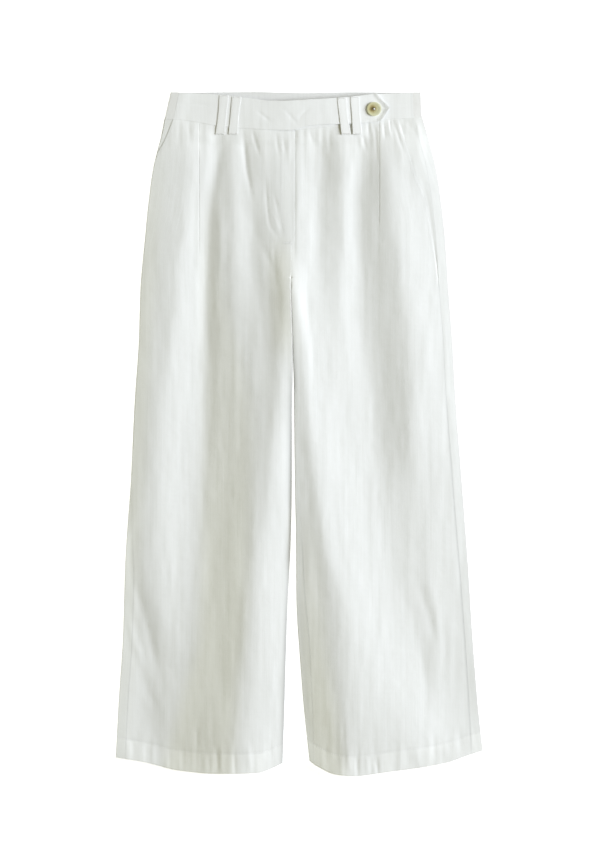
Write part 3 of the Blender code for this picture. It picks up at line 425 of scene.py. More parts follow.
# %% Crease table
# (height, half width, ((X, drop), ...)) in millimetres; a negative height is a trough.
CREASES = (
    # gathers under the band, from the right side to the left
    (-0.25, 3.0, ((-158, 42), (-156, 64))), (0.25, 4.0, ((-150, 44), (-152, 74))),
    (-0.75, 3.6, ((-81, 54), (-78, 82), (-75, 110), (-67, 152))),
    (-0.5, 2.6, ((-67, 54), (-63, 70), (-57, 90))), (-0.45, 2.6, ((-33, 56), (-32, 70), (-29, 90))),
    (-0.3, 2.2, ((-23, 66), (-20, 88))), (0.3, 3.0, ((-14, 62), (-15, 104))),
    (-0.3, 2.4, ((13, 53), (16, 62), (20, 74))), (0.2, 3.0, ((26, 52), (27, 76))),
    (-0.28, 3.0, ((41, 51), (43, 84))), (-0.4, 2.4, ((90, 62), (95, 84))), (0.35, 2.6, ((86, 62),
    (88, 80))),
    (-0.4, 1.8, ((97.5, 40), (98, 60))), (0.3, 2.0, ((101, 44), (102, 58))), (-0.3, 1.6, ((103, 40),
    (104, 56))),
    (-0.3, 1.6, ((128, 38), (129, 58))),
    (-0.4, 2.2, ((106, 44), (109, 72), (110, 100))),
    (-0.4, 2.2, ((119, 44), (122, 68))), (0.35, 2.4, ((126, 42), (129, 66))),
    (-0.4, 2.6, ((133, 41), (139, 60), (147, 86))), (-0.35, 2.0, ((143, 46), (147, 62))),
    (0.3, 2.2, ((150, 42), (152, 58))), (-0.18, 2.6, ((155, 41), (161, 60))), (0.3, 3.0, ((166, 41),
    (169, 62))),
    # drag lines of the fly and the crotch
    (-0.4, 2.2, ((-48, 124), (-46, 160), (-43, 188), (-29, 211))), (-0.3, 2.0, ((-36, 146), (-29, 176))),
    (0.35, 2.6, ((-37, 176), (-28, 200))), (-0.34, 5.0, ((-64, 196), (-48, 228), (-35, 256), (-30, 284),
    (-29, 345))),
    (-0.3, 3.0, ((-36, 220), (-35, 246))),
    # the left pleat below the band, and the shoulder of the right thigh
    (0.2, 6.0, ((71, 105), (72, 150), (72, 190), (73, 240), (74, 300))),
    (-0.25, 6.5, ((86, 48), (86, 100), (86, 190), (87, 240), (89, 300))),
    (0.14, 6.0, ((100, 150), (101, 200), (102, 240))),
    (0.5, 11.0, ((-163, 310), (-164, 370), (-168, 430), (-171, 500))),
    (0.2, 5.0, ((156, 44), (158, 64))),
    # band creases
    (-0.34, 2.2, ((-60, 28), (-51, 35), (-41, 43))), (-0.26, 2.2, ((-23, 24), (-12, 36), (-2, 48))),
    (-0.22, 2.2, ((16, 21), (5, 32), (-3, 42))), (-0.2, 2.4, ((-181, 19), (-150, 17), (-124, 20))),
    (-0.24, 2.4, ((134, 20), (155, 19), (173, 18))),
    # folds in the band beside the belt loops
    (-0.15, 2.0, ((-112.5, 8), (-115, 30), (-119, 56))), (-0.15, 2.2, ((-96, 10), (-99, 30), (-101, 56))),
    (-0.1, 1.8, ((55, 10), (57, 30), (59, 54))), (-0.15, 1.8, ((72, 9), (73, 30), (74.5, 54))),
    # shin of the right leg
    (-0.64, 7.0, ((-241, 679), (-226, 721), (-212, 778), (-194, 849))),
    (0.5, 6.0, ((-248, 740), (-236, 777), (-222, 812))),
    (-0.4, 7.0, ((-232, 800), (-216, 850), (-200, 885))),
    # shin of the left leg
    (-0.45, 6.0, ((168, 690), (182, 740), (198, 790))), (0.3, 6.0, ((184, 690), (196, 750))),
    (-0.4, 6.0, ((199, 730), (206, 790), (200, 850))), (-0.5, 6.0, ((172, 780), (180, 840), (178, 900))),
    # puckers of the hem stitching
    (0.35, 3.2, ((-243, 916), (-242, 952))), (-0.4, 3.0, ((-236, 920), (-235, 950))),
    (-0.35, 3.4, ((-219, 922), (-217, 958))), (0.3, 3.0, ((-209, 926), (-208, 958))),
    (-0.35, 3.6, ((-166, 930), (-165, 966))), (-0.4, 3.0, ((-147, 900), (-145, 934))),
    (0.3, 3.4, ((-134, 936), (-132, 968))), (-0.35, 3.0, ((-118, 930), (-115, 966))),
    (-0.4, 3.2, ((-93, 936), (-91, 972))), (0.3, 3.6, ((-72, 926), (-70, 964))),
    (-0.22, 3.0, ((62, 890), (63, 932))), (0.4, 4.0, ((69, 934), (72, 968))), (-0.4, 3.0, ((80, 940),
    (82, 970))),
    (0.35, 3.4, ((95, 938), (97, 970))), (-0.4, 3.0, ((108, 944), (112, 970))),
    (-0.4, 3.2, ((152, 926), (154, 960))), (0.35, 4.0, ((164, 924), (167, 958))),
    (-0.35, 3.6, ((189, 906), (193, 950))), (0.35, 3.4, ((203, 908), (208, 948))),
    (-0.35, 3.2, ((226, 900), (228, 940))),
)


# Unevenness: height, breadth across, length down the cloth, seed.
UNEVEN = ((0.20, 13.0, 95.0, 3), (0.10, 6.5, 38.0, 8), (0.07, 9.0, 14.0, 21))
PUCKER = (0.2, 5.5, 60.0, 34)           # gathers of the waist seam, fading below it
HEM_PUCKER = (0.16, 4.6, 44.0, 55)      # and puckers of the hem stitching
HEM_DENT = (0.14, 1.8)                  # the hem stitches draw the cloth in: depth, half width
PUCKER_STARTS, PUCKER_ENDS = (-4, 3), (10, 80)      # below the waist seam
HEM_PUCKER_STARTS = (-18, 0)                        # above the hem stitches
BAND_RIPPLE, BAND_RIPPLE_ENDS = 0.45, (20.0, 80.0)  # the stiff band ripples less than the legs
EDGE_FADE, FAR = (0.5, 11.0), 99.0                  # creases die out this near an edge


STROKE_REACH = 3.2                      # a stroke is followed this many half widths away from its line
STROKE_END, STROKE_TAPER = 0.25, 0.3    # its strength at its ends, and the share of it that tapers


def along_lines(table, x, drop):
    """Sum of the table's soft strokes at each place: each is a height or an amount along a line."""
    total = np.zeros_like(x)
    for height, width, line in table:
        line = np.array(line, float)
        reach = STROKE_REACH * width
        near = ((x > line[:, 0].min() - reach) & (x < line[:, 0].max() + reach)
                & (drop > line[:, 1].min() - reach) & (drop < line[:, 1].max() + reach))
        if not near.any():
            continue
        px, pd = x[near], drop[near]
        best, along = np.full(px.shape, 1e9), np.zeros(px.shape)
        lengths = np.linalg.norm(np.diff(line, axis=0), axis=1)
        starts = np.r_[0, np.cumsum(lengths)]
        for a, b, start, length in zip(line, line[1:], starts, lengths):
            step = (b - a) / length
            s = np.clip((px - a[0]) * step[0] + (pd - a[1]) * step[1], 0, length)
            away = np.hypot(px - a[0] - s * step[0], pd - a[1] - s * step[1])
            closer = away < best
            best[closer], along[closer] = away[closer], (start + s)[closer]
        ends = np.minimum(along, starts[-1] - along) / starts[-1]
        strength = STROKE_END + (1 - STROKE_END) * ramp(ends, 0, STROKE_TAPER)
        total[near] += height * np.exp(-(best / width) ** 2) * strength
    return total


def creases(x, drop):
    """Height that the small creases add at each place."""
    return along_lines(CREASES, x, drop)


def value_noise(x, y, seed, size=64):
    """Smooth noise between -1 and 1 over a grid of random heights."""
    grid = np.random.default_rng(seed).uniform(-1, 1, (size, size))
    i, j = np.floor(x).astype(int), np.floor(y).astype(int)
    u, v = x - i, y - j
    u, v = u * u * (3 - 2 * u), v * v * (3 - 2 * v)
    rows = [grid[(i + a) % size, (j + b) % size] for a in (0, 1) for b in (0, 1)]
    return (rows[0] * (1 - v) + rows[1] * v) * (1 - u) + (rows[2] * (1 - v) + rows[3] * v) * u


def unevenness(x, drop):
    """The slight waviness of washed linen: long ripples down the cloth, finer ones, and waist puckers."""
    ripples = sum(height * value_noise(x / across, drop / along, seed)
                  for height, across, along, seed in UNEVEN)
    height, across, along, seed = PUCKER
    below = drop - line_drop(FRONT_SEAM, x)
    puckers = (height * value_noise(x / across, drop / along, seed)
               * ramp(below, *PUCKER_STARTS) * (1 - ramp(below, *PUCKER_ENDS)))
    height, across, along, seed = HEM_PUCKER
    above = drop - hem_drop(x) + HEM_DEPTH
    hem_puckers = height * value_noise(x / across, drop / along, seed) * ramp(above, *HEM_PUCKER_STARTS)
    puckers = puckers + hem_puckers
    dent = HEM_DENT[0] * np.exp(-(above / HEM_DENT[1]) ** 2)
    stiff = BAND_RIPPLE + (1 - BAND_RIPPLE) * ramp(drop, *BAND_RIPPLE_ENDS)
    return ripples * stiff + puckers - dent


def edge_fade(x, drop):
    """0 at the garment's own edges, 1 a little inside them, so that creases die out there."""
    right, left = column(OUTLINE, 1, drop), column(OUTLINE, 2, drop)
    inner = np.where(x < CENTRE_X + 5, column(INSEAMS, 1, drop) - x, x - column(INSEAMS, 2, drop))
    inner = np.where(drop > CROTCH, np.abs(inner), FAR)
    return ramp(np.minimum(np.minimum(x - right, left - x), inner), *EDGE_FADE)


print(len(CREASES), "small creases")

# %% [markdown]
# ## Tone, with painted light and shade
# White linen is not one white. It is greyer along seams, where the layers inside stop the light, and whiter
# over the hem, where it is double. Light and shade are painted into it too: a warm painted shade tint deep
# in the long folds, painted shadow along the legs' inner edges, beside the band's top edge and on the tab's
# point, and painted light over the waist and over a few real shadows, to soften them. These are small masks
# kept on each point of the cloth, so that the material can read them. Painting an image would do the same,
# but it would need a picture.

# %% Tone masks
# (how much darker, half width, line), as in the crease table. Besides seam and stitch lines, some strokes
# are painted shade, and those with a negative amount are painted light.
SHADES = (
    (0.05, 1.5, ((-26, 58), (-26, 150), (-25, 186), (-20, 204), (-10, 213))),
    (0.05, 1.8, ((143, 51), (160, 108), (177, 153), (183, 178), (188, 217))),
    # Painted light on the dark slit at the foot of the left pocket facing.
    (-0.12, 1.6, ((192.6, 234), (195, 255), (197.6, 278))),
    (0.05, 1.5, ((-179, 42), (-190, 68), (-203, 97))),
    # Painted shadow under the front band's top edge by the middle, and painted shade on the tab's point.
    (0.06, 1.6, ((-24, 11.5), (0, 11.0), (22, 9.8))), (0.11, 5.0, ((117, 13), (123, 22), (121, 34))),
    # More painted shade on the tab's point.
    (0.12, 3.4, ((112, 12), (115.5, 22), (113.5, 33))),
    (0.10, 1.5, ((-25, 215.5), (-17, 216), (-9, 215.5))),
    # Painted light over the tops of both pleat folds, softening their shadow lines.
    (-0.08, 2.0, ((-142.2, 44), (-142.2, 70), (-142.2, 92))), (-0.08, 2.0, ((112.6, 42), (112.6, 75),
    (112.6, 104))),
    # Painted light on the right leg's inner edge, softening its shade.
    (-0.13, 2.8, ((-15.4, 585), (-15.8, 620), (-16.2, 656))),
)
# Seams that can be seen on the front: drop, then the shade along the right side seam, the left inseam and
# the left side seam.
SEAM_SHADES = ((0, 0.0, 0.0, 0.05), (400, 0.0, 0.0, 0.05), (450, 0.0, 0.0, 0.14), (620, 0.0, 0.0, 0.16),
               (660, 0.08, 0.14, 0.16), (880, 0.10, 0.12, 0.16), (960, 0.08, 0.05, 0.16))
SEAM_SHADE_BREADTH = 0.8
# Painted light over the waist and the tops of the panels below it; X, how much lighter.
WAIST_PAINTED_LIGHT = ((-200, 0.055), (-130, 0.055), (-100, 0.04), (-60, 0.05), (20, 0.045), (100, 0.05),
(150, 0.07), (200, 0.075))
WAIST_PAINTED_LIGHT_ENDS = (50.0, 120.0)
# Painted shadow along the legs' inner edges, which roll away from the lamp and lie in the other leg's
# shadow: drop, shade at the right leg's inner edge, and at the left one's.
EDGE_SHADES = (
    (0, 0.0, 0.0), (281, 0.0, 0.08), (300, 0.0, 0.16), (380, 0.0, 0.30), (410, 0.2, 0.34),
    (435, 0.32, 0.14),
    (500, 0.40, 0.0), (560, 0.32, 0.0), (610, 0.26, 0.0), (665, 0.22, 0.0), (720, 0.26, 0.0),
    (780, 0.34, 0.0),
    (840, 0.32, 0.0), (960, 0.26, 0.0),
)
EDGE_SHADE_BREADTH = 4.0
# Warm painted shade tint, laid where the folds lie in shade: drop, from X, to X, strength; the deep fold of
# the right leg, its outer edge, the crotch, and the inner side of the left leg.
WARM_FOLD = ((120, -130, -112, 0.0), (220, -134, -118, 0.5), (480, -132, -72, 0.8), (640, -135, -75, 1.1),
             (770, -140, -82, 1.2), (850, -160, -92, 1.15), (960, -190, -98, 1.0))
WARM_SIDE = ((60, -215, -190, 0.0), (150, -235, -200, 0.6), (400, -248, -218, 1.0), (640, -258, -230, 0.8),
             (780, -262, -236, 0.4), (960, -268, -246, 0.2))
WARM_CROTCH = ((200, -34, -14, 0.0), (255, -36, -14, 0.9), (330, -34, -10, 0.9), (390, -30, -9, 0.0))
WARM_LEFT = ((560, 0, 20, 0.0), (780, 4, 34, 1.0), (880, 10, 48, 1.4), (960, 16, 60, 1.1))
HEM_WHITE, HEM_LINE_SHADE = 0.075, 0.035
HEM_LINE_BREADTH, HEM_WHITE_STARTS = 1.3, (-1.5, 2.5)
HEM_PATCHES = (14.0, 60.0, 77)          # breadth, length and seed of the hem's patches
WARM_SOFT, WARM_SHARP = 18, 12          # how far warmth fades outside and inside its borders


def shade(x, drop):
    total = along_lines(SHADES, x, drop)
    right, left = column(INSEAMS, 1, drop), column(INSEAMS, 2, drop)
    on_right = x < (right + left) / 2
    inside = np.clip(np.where(on_right, right - x, x - left), 0, None)
    # Painted shadow along the legs' inner edges.
    most = np.where(on_right, column(EDGE_SHADES, 1, drop), column(EDGE_SHADES, 2, drop))
    total = total + most * np.exp(-(inside / EDGE_SHADE_BREADTH) ** 2)
    # Painted light over the waist, fading out down the panels.
    total = total - line_drop(WAIST_PAINTED_LIGHT, x) * (1 - ramp(drop, *WAIST_PAINTED_LIGHT_ENDS))
    seams = (column(OUTLINE, 1, drop) + column(SEAM_INSETS, 1, drop), left + column(SEAM_INSETS, 3, drop),
             column(OUTLINE, 2, drop) - column(SEAM_INSETS, 4, drop))
    for index, seam in enumerate(seams, start=1):
        total = total + column(SEAM_SHADES, index, drop) * np.exp(-((x - seam) / SEAM_SHADE_BREADTH) ** 2)
    above = drop - hem_drop(x) + HEM_DEPTH
    across, along, seed = HEM_PATCHES
    patchy = 0.75 + 0.5 * value_noise(x / across, drop / along, seed)
    stitched_line = HEM_LINE_SHADE * np.exp(-(above / HEM_LINE_BREADTH) ** 2)
    hem = stitched_line - HEM_WHITE * ramp(above, *HEM_WHITE_STARTS)
    return total + hem * patchy


# Warm painted shade tint: the colour of shade, painted into the deepest folds.
def painted_shade_tint(x, drop):
    total = np.zeros_like(x)
    for table in (WARM_FOLD, WARM_SIDE, WARM_CROTCH, WARM_LEFT):
        start, end, most = (column(table, k, drop) for k in (1, 2, 3))
        rising = ramp(x, start - WARM_SOFT, start + WARM_SHARP)
        total += most * rising * (1 - ramp(x, end - WARM_SHARP, end + WARM_SOFT))
    return total


print("tone along the fly stitching:", round(float(shade(np.array([-26.0]), np.array([120.0]))[0]), 3))

# %% [markdown]
# ## A piece of cloth from its rows
# Every piece is a grid of points: rows across, columns down the cloth. The grid is the outer face; the
# inner face is the same grid moved in by the wall, and a rim joins them, so each piece is a closed thin
# body, as real cloth is. The rim is bevelled softly. The cloth's own lengths become its UV map, in metres,
# so that the weave follows every fold.

# %% Cloth builder
# Piece: its material slot, then its cut: flat width and length, in metres, and area, in square metres.
CUTS = {
    "right_front": ("front_linen", 0.251, 0.96, 0.216),
    "left_front": ("front_linen", 0.269, 0.963, 0.205),
    "right_back": ("back_linen", 0.265, 0.975, 0.224),
    "left_back": ("back_linen", 0.3, 0.98, 0.254),
    "right_pocket_facing": ("facing_linen", 0.036, 0.065, 0.0015),
    "left_pocket_facing": ("facing_linen", 0.048, 0.249, 0.0077),
    "back_band": ("band_linen", 0.41, 0.041, 0.0154),
    "left_band": ("band_linen", 0.171, 0.043, 0.0065),
    "right_band_with_tab": ("band_linen", 0.318, 0.045, 0.012),
    "belt_loop_right_outer_strip": ("loop_linen", 0.013, 0.056, None),
    "belt_loop_right_inner_strip": ("loop_linen", 0.013, 0.054, None),
    "belt_loop_left_inner_strip": ("loop_linen", 0.013, 0.053, None),
    "belt_loop_left_outer_strip": ("loop_linen", 0.013, 0.054, None),
}
SLOTS = {name: row[0] for name, row in CUTS.items()}


BACK_SMOOTH = 2.5           # below the edge's middle by this much the cloth is pressed flat by the table
RIM = 0.3                   # a row and a column of points this near the rim keep its roundness narrow


def finish_rows(rows, drops):
    """Rows of (x, z, nx, nz) and their drops as grids of points and normals, with the small creases."""
    x, z, nx, nz = (np.array([row[k] for row in rows]) for k in range(4))
    drop = np.array(drops)
    waves = creases(x, drop) + unevenness(x, drop)
    z = z + waves * edge_fade(x, drop) * (z > SIDE_MID - BACK_SMOOTH)
    points = np.stack([x, LENGTH / 2 - drop, z], axis=-1)
    return points, np.stack([nx, np.zeros_like(nx), nz], axis=-1)


def near_rim(grid, axis, cells):
    """The grid with one more line of points close inside each of its two ends."""
    grid = np.moveaxis(grid, axis, 0)
    first = grid[0] + (grid[1] - grid[0]) * cells[0]
    last = grid[-1] + (grid[-2] - grid[-1]) * cells[1]
    return np.moveaxis(np.concatenate([grid[:1], [first], grid[1:-1], [last], grid[-1:]]), 0, axis)


def linked(name, mesh, finish):
    """The smooth-shaded object of a mesh, riding on the garment."""
    mesh.shade_smooth()
    mesh.materials.append(finish)
    obj = bpy.data.objects.new(name, mesh)
    bpy.context.scene.collection.objects.link(obj)
    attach(obj, "root")
    return obj


def round_rim(obj, breadth):
    """Bevels the rim, whose edges carry the bevel's weight."""
    bevel = obj.modifiers.new("soft edge", "BEVEL")
    bevel.limit_method = "WEIGHT"
    bevel.width, bevel.segments = breadth * MM, 2
    bpy.context.view_layer.objects.active = obj
    bpy.ops.object.modifier_apply(modifier=bevel.name)


ROUNDED = 0.12              # breadth of the rim's bevel


def cloth(name, points, normals, wall, finish):
    """A closed thin piece from a grid of outer points, with its cloth lengths as its UV map."""
    wall = np.broadcast_to(np.asarray(wall, float), points.shape[:2] + (1,))
    for axis in (0, 1):
        ends = [np.linalg.norm(np.take(points, b, axis) - np.take(points, a, axis), axis=1)[:, None]
                for a, b in ((0, 1), (-1, -2))]
        cells = [np.clip(RIM / np.maximum(end, TINY), 0, 0.5) for end in ends]
        points, normals, wall = (near_rim(grid, axis, cells) for grid in (points, normals, wall))
    inner = points - wall * normals
    rows, cols = points.shape[:2]
    across = np.linalg.norm(np.diff(points, axis=1), axis=2)
    u = np.concatenate([np.zeros((rows, 1)), np.cumsum(across, axis=1)], axis=1)
    u -= u[:, cols // 2][:, None]
    v = points[:, :, 1]
    uv = np.stack([u, v], axis=-1).reshape(-1, 2) * MM
    at = np.arange(rows * cols).reshape(rows, cols)
    quads = np.stack([at[:-1, :-1], at[:-1, 1:], at[1:, 1:], at[1:, :-1]], axis=-1).reshape(-1, 4)
    rim = np.concatenate([at[0, :], at[1:, -1], at[-1, -2::-1], at[-2:0:-1, 0]])
    after = np.roll(rim, -1)
    back = rows * cols
    walls = np.stack([after, rim, rim + back, after + back], axis=-1)
    faces = np.concatenate([quads, quads[:, ::-1] + back, walls])
    mesh = bpy.data.meshes.new(name)
    mesh.from_pydata((np.concatenate([points, inner]).reshape(-1, 3) * MM).tolist(), [], faces.tolist())
    layer = mesh.uv_layers.new(name="cloth")
    corner = np.zeros(len(mesh.loops), int)
    mesh.loops.foreach_get("vertex_index", corner)
    layer.data.foreach_set("uv", np.concatenate([uv, uv])[corner].ravel())
    x, drop = points[:, :, 0], LENGTH / 2 - points[:, :, 1]
    on_front = ramp(points[:, :, 2], SIDE_MID - 3, SIDE_MID - 1)
    # The tone mask, with painted shade and painted light, and the warm painted shade tint, for the material.
    for title, amount in (("shade", shade(x, drop)), ("painted_shade_tint", painted_shade_tint(x, drop))):
        mask = mesh.attributes.new(title, "FLOAT", "POINT")
        mask.data.foreach_set("value", np.tile((amount * on_front).ravel(), 2))
    bm = bmesh.new()
    bm.from_mesh(mesh)
    bmesh.ops.recalc_face_normals(bm, faces=bm.faces)
    bm.verts.ensure_lookup_table()
    weight = bm.edges.layers.float.new("bevel_weight_edge")
    for a, b in zip(rim.tolist(), after.tolist()):
        for shift in (0, back):
            bm.edges.get((bm.verts[a + shift], bm.verts[b + shift]))[weight] = 1.0
    bm.to_mesh(mesh)
    bm.free()
    obj = linked(name, mesh, finish)
    round_rim(obj, ROUNDED)
    area = float(np.linalg.norm(np.cross(points[1:, :-1] - points[:-1, :-1],
                                         points[:-1, 1:] - points[:-1, :-1]), axis=2).sum()) * 1e-6
    width, length = u.max() - u.min(), np.linalg.norm(np.diff(points, axis=0), axis=2).sum(axis=0).max()
    triangles = sum(len(p.vertices) - 2 for p in obj.data.polygons)
    print(f"{name}: {triangles} triangles, {area:.4f} m2 of cloth, {width:.1f} x {length:.1f} mm flat")
    return obj

# %% [markdown]
# ## Linen
# Linen is a plain weave of uneven yarns: thin and thick places, called slubs, run along both threads. Two
# shader groups make it. One draws the yarns as a height, from waves along the cloth's two directions that
# noise thickens and thins. The other makes the slow variation of a washed cloth. An image would tile and
# show its seams; a node group can be used by every piece with its own values.

# %% Shader groups
def new_group(name, inputs, outputs):
    group = bpy.data.node_groups.new(name, "ShaderNodeTree")
    for title, kind, value in inputs:
        socket = group.interface.new_socket(title, in_out="INPUT", socket_type=kind)
        if value is not None:
            socket.default_value = value
    for title, kind in outputs:
        group.interface.new_socket(title, in_out="OUTPUT", socket_type=kind)
    return group, group.nodes.new("NodeGroupInput"), group.nodes.new("NodeGroupOutput")


def node(tree, kind, links=(), **settings):
    """Adds a node, sets what it is given, and links (input, from socket) pairs."""
    made = tree.nodes.new(kind)
    for key, value in settings.items():
        if key.startswith("in_"):
            made.inputs[int(key[3:])].default_value = value
        else:
            setattr(made, key, value)
    for socket, source in links:
        tree.links.new(source, made.inputs[socket])
    return made


def math_node(tree, operation, a, b=None, clamp=False):
    made = node(tree, "ShaderNodeMath", operation=operation, use_clamp=clamp)
    for slot, value in enumerate((a, b)):
        if value is None:
            continue
        if isinstance(value, (int, float)):
            made.inputs[slot].default_value = value
        else:
            tree.links.new(value, made.inputs[slot])
    return made.outputs[0]


def give(made, **values):
    """Sets inputs by name; an underscore stands for a space."""
    for title, value in values.items():
        made.inputs[title.replace("_", " ")].default_value = value


def noise_of(tree, place, scale, detail):
    noise = node(tree, "ShaderNodeTexNoise", [(0, place)])
    give(noise, Scale=scale, Detail=detail)
    return noise


def new_material(name):
    made = bpy.data.materials.new(name)
    made.use_nodes = True
    return made, made.node_tree, made.node_tree.nodes["Principled BSDF"]


SLUB_ACROSS, SLUB_ALONG = 480.0, 14.0    # slubs in a metre, across a thread and along it
SECOND_THREAD = 3.7                      # where the noise of the second thread starts


def weave_group():
    """Yarns of a plain weave: a height, and a mask of where the yarn is thick."""
    inputs = (("Vector", "NodeSocketVector", None), ("Threads per metre", "NodeSocketFloat", 1700.0),
              ("Slub", "NodeSocketFloat", 0.6))
    group, given, out = new_group("linen weave", inputs,
                                  (("Height", "NodeSocketFloat"), ("Thick yarn", "NodeSocketFloat")))
    place = node(group, "ShaderNodeSeparateXYZ", [(0, given.outputs[0])])
    slubs = []
    for across, along in ((0, 1), (1, 0)):
        stretched = node(group, "ShaderNodeCombineXYZ", [
            (0, math_node(group, "MULTIPLY", place.outputs[across], SLUB_ACROSS)),
            (1, math_node(group, "MULTIPLY", place.outputs[along], SLUB_ALONG))],
            in_2=SECOND_THREAD * across)
        slubs.append(noise_of(group, stretched.outputs[0], 1.0, 2.0).outputs[0])
    waves = []
    for across, slub in zip((0, 1), slubs):
        turns = math_node(group, "MULTIPLY", place.outputs[across], given.outputs[1])
        turns = math_node(group, "MULTIPLY", turns, math.pi)
        wave = math_node(group, "ABSOLUTE", math_node(group, "SINE", turns))
        weight = math_node(group, "ADD", 1.0, math_node(group, "MULTIPLY", given.outputs[2],
                                                        math_node(group, "SUBTRACT", slub, 0.5)))
        waves.append(math_node(group, "MULTIPLY", wave, weight))
    height = math_node(group, "MULTIPLY", math_node(group, "ADD", *waves), 0.5)
    thick = math_node(group, "ADD", math_node(group, "MULTIPLY", slubs[0], 0.8),
                      math_node(group, "MULTIPLY", slubs[1], 0.2))
    group.links.new(height, out.inputs[0])
    group.links.new(thick, out.inputs[1])
    return group


def wear_group():
    """Slow variation of washed cloth: soft vertical streaks and crumple."""
    inputs = (("Vector", "NodeSocketVector", None), ("Streak width", "NodeSocketFloat", 0.004),
              ("Streak length", "NodeSocketFloat", 0.12))
    group, given, out = new_group("washed cloth", inputs,
                                  (("Streak", "NodeSocketFloat"), ("Crumple", "NodeSocketFloat")))
    place = node(group, "ShaderNodeSeparateXYZ", [(0, given.outputs[0])])
    stretched = node(group, "ShaderNodeCombineXYZ", [
        (0, math_node(group, "DIVIDE", place.outputs[0], given.outputs[1])),
        (1, math_node(group, "DIVIDE", place.outputs[1], given.outputs[2]))])
    streak = noise_of(group, stretched.outputs[0], 1.0, 3.0)
    crumple = noise_of(group, given.outputs[0], 38.0, 4.0)
    give(crumple, Roughness=0.55)
    group.links.new(streak.outputs[0], out.inputs[0])
    group.links.new(crumple.outputs[0], out.inputs[1])
    return group


WEAVE, WASHED = weave_group(), wear_group()
# The colour that the warm painted shade tint multiplies the linen by.
SHADE_TINT_CAST = (1.0, 0.995, 0.945)
YARN_HEIGHT, STREAK_HEIGHT = 0.00006, 0.00009       # relief of the weave and of the streaks, in metres


def masked(tree, title, colour, cast):
    """The colour times cast where the cloth's mask is 1; a mask below 0 lightens."""
    mask = node(tree, "ShaderNodeAttribute", attribute_name=title).outputs["Fac"]
    product = node(tree, "ShaderNodeMix", data_type="RGBA", blend_type="MULTIPLY", clamp_factor=False)
    tree.links.new(mask, product.inputs[0])
    tree.links.new(colour, product.inputs[6])
    product.inputs[7].default_value = (*cast, 1)
    return product.outputs[2]


def linen(name, light, shade, threads=1700.0, crumple=0.00035):
    """White linen: its colour swings between light and shade with yarn and wash."""
    made, tree, shader = new_material(name)
    uv = node(tree, "ShaderNodeUVMap", uv_map="cloth").outputs[0]
    weave = node(tree, "ShaderNodeGroup", node_tree=WEAVE)
    weave.inputs[1].default_value = threads
    washed = node(tree, "ShaderNodeGroup", node_tree=WASHED)
    for group in (weave, washed):
        tree.links.new(uv, group.inputs[0])
    mixed = math_node(tree, "ADD", math_node(tree, "MULTIPLY", weave.outputs[1], 0.5),
                      math_node(tree, "MULTIPLY", washed.outputs[0], 0.5))
    spread = node(tree, "ShaderNodeMapRange", [(0, mixed)], in_1=0.35, in_2=0.65)
    colour = node(tree, "ShaderNodeMix", [(0, spread.outputs[0])], data_type="RGBA")
    colour.inputs[6].default_value = (*shade, 1)
    colour.inputs[7].default_value = (*light, 1)
    # The warm painted shade tint, then the tone mask with its painted shade and painted light.
    warm = masked(tree, "painted_shade_tint", colour.outputs[2], SHADE_TINT_CAST)
    toned = masked(tree, "shade", warm, (0, 0, 0))
    tree.links.new(toned, shader.inputs["Base Color"])
    rough = node(tree, "ShaderNodeMapRange", [(0, weave.outputs[0])], in_3=0.92, in_4=0.78)
    tree.links.new(rough.outputs[0], shader.inputs["Roughness"])
    give(shader, Specular_IOR_Level=0.25, Sheen_Weight=0.12, Sheen_Roughness=0.5)
    height = math_node(tree, "ADD", math_node(tree, "MULTIPLY", weave.outputs[0], YARN_HEIGHT),
                       math_node(tree, "MULTIPLY", washed.outputs[1], crumple))
    height = math_node(tree, "ADD", height, math_node(tree, "MULTIPLY", washed.outputs[0], STREAK_HEIGHT))
    bump = node(tree, "ShaderNodeBump", [("Height", height)])
    give(bump, Strength=1.0, Distance=1.0)
    tree.links.new(bump.outputs[0], shader.inputs["Normal"])
    return made


FRONT_LINEN = linen("front linen", (0.790, 0.801, 0.787), (0.770, 0.780, 0.761))
BACK_LINEN = linen("back linen", (0.771, 0.782, 0.762), (0.749, 0.759, 0.739))
BAND_LINEN = linen("band linen", (0.805, 0.816, 0.806), (0.777, 0.787, 0.773), crumple=0.00025)
# The back band's linen is a darker copy of the band linen: painted shade for its inside, which lies under
# the front band's top edge.
INNER_BAND_SHADED_LINEN = linen("inner band linen with painted shade", (0.775, 0.778, 0.76), (0.735, 0.737, 0.718), crumple=0.00025)
# The loops' linen is a lighter copy of the band linen: painted light over the loops, against the shade of
# their dome and stitches.
LOOP_LINEN_PAINTED_LIGHT = linen("loop linen with painted light", (0.835, 0.845, 0.835), (0.805, 0.815, 0.80), crumple=0.0002)
print("linens", [m.name for m in (FRONT_LINEN, BACK_LINEN, BAND_LINEN, INNER_BAND_SHADED_LINEN, LOOP_LINEN_PAINTED_LIGHT)])

# %% [markdown]
# ## The fronts, with their pleats
# Each front is one cloth with a knife pleat: near the waist it folds back on itself, so that three layers
# lie over each other, and lower down the fold runs out. The wearer's right front laps over the left one
# down the fly, so the left one is a little lower there.

